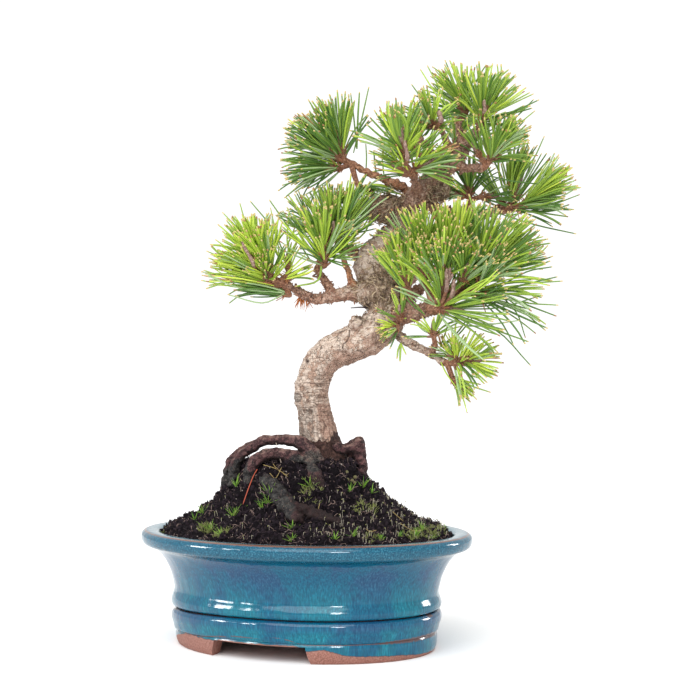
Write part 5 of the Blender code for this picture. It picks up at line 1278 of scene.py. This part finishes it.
# Long single needles that stand out of the crown: tint, then root, middle and tip.
strays = [
    (3, (0.0302, 0.0100, 0.2915), (0.0288, 0.0100, 0.3081), (0.0269, 0.0100, 0.3229)),
    (3, (0.0305, 0.0100, 0.2909), (0.0311, 0.0110, 0.3094), (0.0320, 0.0120, 0.3244)),
    (3, (0.0285, 0.0100, 0.2886), (0.0335, 0.0090, 0.3091), (0.0374, 0.0080, 0.3264)),
    (3, (0.0359, 0.0120, 0.2787), (0.0362, 0.0120, 0.2864), (0.0358, 0.0120, 0.2936)),
    (3, (0.0466, 0.0120, 0.2752), (0.0460, 0.0120, 0.2805), (0.0454, 0.0120, 0.2858)),
    (4, (0.0424, 0.0120, 0.2752), (0.0412, 0.0120, 0.2817), (0.0406, 0.0120, 0.2894)),
    (5, (-0.0118, -0.0120, 0.2049), (-0.0382, -0.0140, 0.2083), (-0.0585, -0.0160, 0.2171)),
    (5, (-0.0129, -0.0120, 0.2055), (-0.0347, -0.0150, 0.2071), (-0.0552, -0.0180, 0.2145)),
    (2, (-0.0246, -0.0100, 0.2062), (-0.0430, -0.0110, 0.2090), (-0.0587, -0.0120, 0.2121)),
    (5, (-0.0118, -0.0120, 0.2044), (-0.0244, -0.0140, 0.1991), (-0.0432, -0.0160, 0.2037)),
    (3, (0.0040, -0.0080, 0.2231), (-0.0068, -0.0060, 0.2395), (-0.0202, -0.0040, 0.2589)),
    (3, (-0.0108, -0.0080, 0.2254), (-0.0189, -0.0080, 0.2428), (-0.0311, -0.0080, 0.2579)),
    (2, (-0.0282, -0.0080, 0.2301), (-0.0335, -0.0070, 0.2429), (-0.0376, -0.0060, 0.2569)),
    (2, (-0.0317, -0.0080, 0.2324), (-0.0382, -0.0060, 0.2418), (-0.0471, -0.0040, 0.2513)),
    (1, (-0.0080, -0.0040, 0.2233), (-0.0103, -0.0040, 0.2361), (-0.0092, -0.0040, 0.2525)),
    (1, (-0.0150, -0.0040, 0.2233), (-0.0156, -0.0040, 0.2338), (-0.0197, -0.0040, 0.2536)),
    (2, (0.0217, -0.0040, 0.2315), (0.0346, -0.0010, 0.2445), (0.0417, 0.0020, 0.2629)),
    (2, (0.0212, -0.0040, 0.2309), (0.0352, -0.0020, 0.2409), (0.0405, 0.0000, 0.2587)),
    (3, (0.0077, -0.0040, 0.2256), (-0.0028, -0.0040, 0.2338), (-0.0127, -0.0040, 0.2420)),
    (2, (0.0101, -0.0080, 0.2254), (0.0079, -0.0110, 0.2125), (-0.0042, -0.0140, 0.2089)),
    (1, (0.0879, 0.0000, 0.3055), (0.0774, 0.0010, 0.3209), (0.0681, 0.0020, 0.3360)),
    (2, (0.0850, 0.0000, 0.3078), (0.0797, 0.0010, 0.3232), (0.0722, 0.0020, 0.3380)),
    (3, (0.0811, 0.0040, 0.3025), (0.0717, 0.0040, 0.3155), (0.0629, 0.0040, 0.3278)),
    (4, (0.1017, 0.0040, 0.3002), (0.1229, 0.0050, 0.3121), (0.1369, 0.0060, 0.3190)),
    (4, (0.1040, 0.0040, 0.2990), (0.1219, 0.0060, 0.3075), (0.1345, 0.0080, 0.3196)),
    (2, (0.1052, 0.0040, 0.2978), (0.1216, 0.0030, 0.3024), (0.1338, 0.0020, 0.3114)),
    (3, (0.1270, 0.0100, 0.2750), (0.1353, 0.0100, 0.2856), (0.1409, 0.0100, 0.2974)),
    (4, (0.0657, -0.0200, 0.2706), (0.0804, -0.0180, 0.2794), (0.0879, -0.0160, 0.2949)),
    (4, (0.0671, -0.0200, 0.2700), (0.0815, -0.0180, 0.2748), (0.0926, -0.0160, 0.2834)),
    (4, (0.1077, -0.0080, 0.2730), (0.1212, -0.0010, 0.2708), (0.1378, 0.0060, 0.2697)),
    (4, (0.1159, 0.0120, 0.2526), (0.1367, 0.0120, 0.2461), (0.1593, 0.0120, 0.2411)),
    (3, (0.1201, 0.0120, 0.2515), (0.1438, 0.0120, 0.2562), (0.1584, 0.0120, 0.2553)),
    (3, (0.1213, 0.0120, 0.2515), (0.1445, 0.0130, 0.2575), (0.1622, 0.0140, 0.2641)),
    (3, (0.0986, -0.0340, 0.2002), (0.1231, -0.0320, 0.2088), (0.1457, -0.0300, 0.2110)),
    (4, (0.0941, -0.0340, 0.1968), (0.1203, -0.0320, 0.2076), (0.1434, -0.0300, 0.2134)),
    (4, (0.1077, -0.0340, 0.2059), (0.1260, -0.0320, 0.2161), (0.1406, -0.0300, 0.2191)),
    (3, (0.1065, -0.0340, 0.2070), (0.1234, -0.0350, 0.1991), (0.1426, -0.0360, 0.1973)),
    (4, (0.1065, -0.0340, 0.2076), (0.1222, -0.0350, 0.1991), (0.1415, -0.0360, 0.1915)),
    (3, (0.1098, -0.0360, 0.2052), (0.1209, -0.0370, 0.1962), (0.1353, -0.0380, 0.1838)),
    (4, (0.1075, -0.0360, 0.2064), (0.1198, -0.0370, 0.1934), (0.1247, -0.0380, 0.1799)),
    (5, (0.0769, -0.0400, 0.1922), (0.1015, -0.0410, 0.1866), (0.1207, -0.0420, 0.1885)),
    (5, (0.0769, -0.0400, 0.1916), (0.0936, -0.0410, 0.1854), (0.1131, -0.0420, 0.1874)),
    (3, (0.0769, -0.0400, 0.1927), (0.1027, -0.0400, 0.1849), (0.1260, -0.0400, 0.1768)),
    (4, (0.0769, -0.0400, 0.1922), (0.1071, -0.0400, 0.1838), (0.1272, -0.0400, 0.1638)),
    (4, (0.0858, -0.0400, 0.1950), (0.1094, -0.0400, 0.1956), (0.1292, -0.0400, 0.2012)),
    (5, (0.0825, -0.0400, 0.1939), (0.0992, -0.0410, 0.1899), (0.1137, -0.0420, 0.1938)),
    (3, (0.0686, -0.0360, 0.1917), (0.0557, -0.0370, 0.2069), (0.0433, -0.0380, 0.2215)),
    (4, (0.0681, -0.0360, 0.1923), (0.0590, -0.0370, 0.2001), (0.0500, -0.0380, 0.2181)),
    (1, (0.0863, -0.0240, 0.1520), (0.0908, -0.0250, 0.1446), (0.0930, -0.0260, 0.1367)),
    (2, (0.0880, -0.0240, 0.1583), (0.0948, -0.0250, 0.1520), (0.1052, -0.0260, 0.1483)),
    (1, (0.0880, -0.0240, 0.1526), (0.0925, -0.0250, 0.1498), (0.0976, -0.0260, 0.1448)),
    (2, (0.0875, -0.0240, 0.1515), (0.0902, -0.0250, 0.1486), (0.0940, -0.0260, 0.1448)),
    (1, (0.0782, -0.0240, 0.1652), (0.0812, -0.0240, 0.1589), (0.0865, -0.0240, 0.1515)),
    (3, (0.0784, -0.0220, 0.1743), (0.0870, -0.0220, 0.1811), (0.0950, -0.0220, 0.1920)),
    (3, (0.0784, -0.0220, 0.1737), (0.0882, -0.0220, 0.1806), (0.0967, -0.0220, 0.1909)),
    (2, (0.0782, -0.0220, 0.1743), (0.0807, -0.0220, 0.1811), (0.0824, -0.0220, 0.1869)),
    (6, (0.0784, -0.0220, 0.1737), (0.0778, -0.0230, 0.1771), (0.0770, -0.0240, 0.1800)),
    (3, (0.0800, -0.0300, 0.2010), (0.0845, -0.0300, 0.2110), (0.0880, -0.0300, 0.2220)),
    (4, (0.0830, -0.0300, 0.2010), (0.0857, -0.0300, 0.2120), (0.0868, -0.0300, 0.2230)),
    (2, (0.0555, -0.0200, 0.1760), (0.0539, -0.0210, 0.1720), (0.0534, -0.0220, 0.1680)),
    (2, (0.0555, -0.0200, 0.1760), (0.0553, -0.0210, 0.1714), (0.0550, -0.0220, 0.1660)),
    (1, (0.0555, -0.0200, 0.1760), (0.0567, -0.0210, 0.1731), (0.0582, -0.0220, 0.1700)),
    (2, (0.0574, -0.0180, 0.1881), (0.0614, -0.0200, 0.1932), (0.0638, -0.0220, 0.1994)),
    (1, (0.0540, -0.0180, 0.1915), (0.0556, -0.0200, 0.1989), (0.0556, -0.0220, 0.2063)),
]


# Living pine needle: stiff and waxy.
def pineNeedle(name, hexColour):
    made, _, shader = newMaterial(name)
    shader.inputs["Base Color"].default_value = linearColour(hexColour)
    shader.inputs["Roughness"].default_value = 0.45
    shader.inputs["Specular IOR Level"].default_value = 0.4
    return made


def plainScaly(name, dark, middle, light, grainSize, roughness):
    made, tree, shader = newMaterial(name)
    grain = noiseNode(tree, (1.0, 1.0, 1.0), grainSize, 3.0, 0.6)
    tree.links.new(colourRamp(tree, grain, [(0.32, dark), (0.52, middle), (0.72, light)]), shader.inputs["Base Color"])
    shader.inputs["Roughness"].default_value = roughness
    shader.inputs["Specular IOR Level"].default_value = 0.3
    addBump(tree, shader, grain, 0.0003)
    return made


# True where a straight needle would run into the trunk or a bough.
def hitsWood(base, way, length):
    start = Vector(base + centreShift) + Vector(way) * 0.0035
    return woodTree.ray_cast(start, Vector(way), length - 0.0035)[0] is not None


# Adds one needle along a line, with its dry tip: pale tan, or brown on some.
def addNeedle(line, width, tint, chance, grown):
    shares = np.linspace(0.0, 1.0, len(line))
    girth = width * np.interp(shares, [0.0, 0.15, 0.7, 1.0], [0.72, 1.0, 1.0, 0.78])
    grown["needles"][tint].append(np.column_stack([line, girth]))
    end = unit(line[-1] - line[-2])
    reach = foliage["tipLength"] * chance.uniform(0.5, 1.5)
    tip = np.array([line[-1] - end * 0.0002, line[-1] + end * reach * 0.8, line[-1] + end * reach])
    kind = "brownTips" if chance.random() < 0.16 else "tips"
    grown[kind].append(np.column_stack([tip, girth[-1] * np.array([1.04, 1.00, 0.60])]))


# True where a needle would pass before one of the long buds.
def hidesBud(line):
    for _, base, top, girth in candles:
        base, top = np.array(base), np.array(top)
        reached = np.clip(((line - base) @ (top - base)) / ((top - base) @ (top - base)), -0.1, 1.1)
        aside = (line - base - reached[:, None] * (top - base))[:, [0, 2]]
        if ((line[:, 1] < base[1] + 0.002) & (np.hypot(aside[:, 0], aside[:, 1]) < girth + 0.0003)).any():
            return True
    return False


def growShoot(row, chance, age, grown):
    x, y, z, heading, tilt, twig, reach, spread, rounds, *older = row
    age = age + sum(older)
    foot = np.array([x, y, z])
    way = headingWay(heading, tilt)
    hub = foot + way * twig / 2
    sideways, upward = crossWays(way)
    spread = math.radians(spread)
    count = round(rounds * foliage["pairsPerRound"])
    for k in range(count):
        share = 1 - (1 - (k + chance.uniform(0.0, 1.0)) / count) ** 1.15
        turn = 2.39996 * k + chance.uniform(-0.5, 0.5)
        out = math.cos(turn) * sideways + math.sin(turn) * upward
        lean = spread * (1.10 - 0.95 * share) + chance.normal(0.0, 0.11)
        aim = way * math.cos(lean) + out * math.sin(lean)
        base = foot + way * twig * share + out * 0.0009
        length = reach * (chance.uniform(0.82, 1.03) if chance.random() < 0.85 else chance.uniform(0.62, 0.85))
        drop = base - hub
        back = drop @ aim
        length = math.sqrt(max(1e-9, back * back - drop @ drop + length * length)) - back
        along = base + aim * np.linspace(0.0, length, 24)[:, None]
        if length < 0.006 or hitsWood(base, aim, length) or hidesBud(along):
            continue
        across, _ = crossWays(aim)
        roll = chance.uniform(0, 2 * math.pi)
        parting = math.cos(roll) * across + math.sin(roll) * np.cross(aim, across)
        half = math.radians(foliage["pairAngle"]) / 2 * chance.uniform(0.3, 1.8)
        sheath = min(foliage["sheathLength"], length * 0.25)
        steps = np.array([0.0, 0.5, 1.0])[:, None] * sheath
        grown["sheaths"].append(np.column_stack([base + aim * steps, [0.00085, 0.00080, 0.00062]]))
        pairBow = foliage["bend"] * chance.normal(0.5, 0.9)
        bowWay = unit(unit(np.array([0.0, 0.0, 1.0]) - aim * aim[2] + 1e-6) + chance.normal(0.0, 0.35, 3))
        # Pairs that face up get lighter tints and pairs that face down darker and bluish ones: painted light, shade and
        # sheen.
        lit = 1.1 * out[2] * math.sin(lean) + 0.35 * aim[2] - 0.2
        place = age + 0.45 - 1.15 * lit + chance.normal(0.0, 0.75)
        tint = int(np.clip(round(place), 0, 4))
        if tint > 1 and chance.random() < 0.08 + 0.20 * (lit < -0.2):
            tint = 5
        if chance.random() < 0.003:
            tint = 6
        for side in (-1, 1):
            own = unit(aim * math.cos(half) + parting * side * math.sin(half))
            full = length * chance.uniform(0.90, 1.02)
            bow = (pairBow + chance.normal(0.0, 0.012)) * full
            reached = np.linspace(0.06, 1.0, 7)
            line = base + own * (reached * full)[:, None] + bowWay * (4 * bow * reached * (1 - reached))[:, None]
            width = foliage["needleWidth"] * chance.uniform(0.84, 1.12) * (0.90 if reach < 0.022 else 1.0)
            near = tint if tint > 4 or chance.random() < 0.75 else int(np.clip(tint + chance.choice([-1, 1]), 0, 4))
            addNeedle(line, width, near, chance, grown)
    top = foot + way * twig
    budLength = 0.0095 if reach > 0.025 else 0.0060
    budShares = np.array([-0.2, 0.0, 0.12, 0.35, 0.65, 0.88, 1.0])
    budGirths = np.array([0.0010, 0.0014, 0.0016, 0.0015, 0.0012, 0.0008, 0.0003])
    for number in range(2 if rounds > 4 else 1):
        budWay = unit(way + number * (0.35 * sideways * chance.choice([-1, 1]) + 0.1 * upward))
        grown["buds"].append(np.column_stack([top + budWay * (budShares * budLength * (1 - 0.25 * number))[:, None], budGirths]))
    grown["twigs"].append(smoothLine([(*foot, 0.0015), (*(foot + way * twig * 0.5), 0.0014), (*top, 0.0012)], 5))
    for _ in range(int(18 + twig * 2200)):
        turn = chance.uniform(0, 2 * math.pi)
        out = math.cos(turn) * sideways + math.sin(turn) * upward
        base = foot + way * twig * chance.uniform(-0.1, 1.0) + out * 0.0010
        own = unit(way * chance.uniform(0.2, 0.9) + out)
        shares = np.array([0.0, 0.5, 1.0])[:, None] * chance.uniform(0.0010, 0.0036)
        grown["twigScales"].append(np.column_stack([base + own * shares, [0.0005, 0.0004, 0.00015]]))
    for _ in range(chance.integers(3, 9)):
        turn, lean = chance.uniform(0, 2 * math.pi), chance.uniform(0.5, 1.5)
        own = way * math.cos(lean) + (math.cos(turn) * sideways + math.sin(turn) * upward) * math.sin(lean)
        shares = np.array([0.0, 0.5, 1.0])[:, None] * reach * chance.uniform(0.15, 0.34)
        line = foot + way * twig * chance.uniform(0.0, 0.7) + own * shares - np.array([0.0, 0.0, 0.08]) * shares * np.array([[0.0], [0.3], [1.0]])
        grown["dryNeedles"].append(np.column_stack([line, [0.0005, 0.0004, 0.0003]]))


def growFoliage():
    chance = np.random.default_rng(foliage["seed"])
    grown = {"needles": [[] for _ in foliage["tints"]]}
    for kind in ("tips", "brownTips", "sheaths", "buds", "twigs", "twigScales", "dryNeedles"):
        grown[kind] = []
    for end, age, shoots in masses.values():
        start = np.array(end[:3])
        away = unit(np.array(shoots[0][:3]) - start)
        fork = (*(start + away * 0.002), end[3] * 0.92)
        for row in shoots:
            foot = np.array(row[:3])
            way = headingWay(row[3], row[4])
            stations = [(*(start - away * 0.0015), end[3]), fork, (*foot, 0.0015), (*(foot + way * 0.002), 0.0015)]
            grown["twigs"].append(smoothLine(stations, 5))
            growShoot(row, chance, age, grown)
    for foot, base, top, girth in candles:
        base, top = np.array(base), np.array(top)
        grown["twigs"].append(smoothLine([(*foot, 0.0013), (*((np.array(foot) + base) / 2 - (0.0, 0.0, 0.0012)), 0.0012), (*base, girth * 0.8)], 5))
        shares = np.array([-0.04, 0.10, 0.25, 0.44, 0.50, 0.60, 0.80, 0.93, 1.0])
        swell = np.array([0.7, 1.0, 1.0, 0.78, 0.74, 0.86, 0.78, 0.5, 0.15]) * girth
        grown["buds"].append(np.column_stack([base + (top - base) * shares[:, None] + np.array([0.0004, 0.0, 0.0]) * np.sin(shares * 6)[:, None], swell]))
    for tint, *route in strays:
        line = smoothLine([(*place, 0.0) for place in route], 4)[:, :3]
        addNeedle(line, foliage["needleWidth"] * chance.uniform(0.80, 0.98), tint, chance, grown)
    return grown


grown = growFoliage()
for number, (tint, hexColour) in enumerate(foliage["tints"]):
    stood = tuple(mass for mass in masses if round(masses[mass][1]) == number)
    coat = pineNeedle("pineNeedle_" + tint, hexColour)
    sweptPiece("needles_" + tint + "_tint", grown["needles"][number], coat, "needles", 5, foliage["flatness"], stood)
sweptPiece("needle_tips", grown["tips"], plainCoat("driedNeedleTip", "#cbb578", 0.6), "needles", 5, foliage["flatness"])
sweptPiece("needle_tips_brown", grown["brownTips"], plainCoat("brownNeedleTip", "#a0754e", 0.6), "needles", 5, foliage["flatness"])
sweptPiece("needle_sheaths", grown["sheaths"], plainCoat("paperySheath", "#8a6750", 0.8), "bough_bark", 5)
twigCoat = plainScaly("youngScalyBark", "#5a3a2b", "#8e624b", "#bd9176", 0.0012, 0.75)
sweptPiece("twigs", grown["twigs"], twigCoat, "bough_bark", 8)
sweptPiece("twig_scales", grown["twigScales"], plainCoat("driedTwigScale", "#a06c50", 0.8), "bough_bark", 4, 0.6)
sweptPiece("dry_needles", grown["dryNeedles"], plainCoat("dryBrownNeedle", "#ad7452", 0.7), "needles", 4, 0.7)
budCoat = plainScaly("resinyBud", "#6a4f47", "#94766b", "#bba598", 0.0011, 0.7)
sweptPiece("buds", grown["buds"], budCoat, "bough_bark", 10)
print("foliage made")
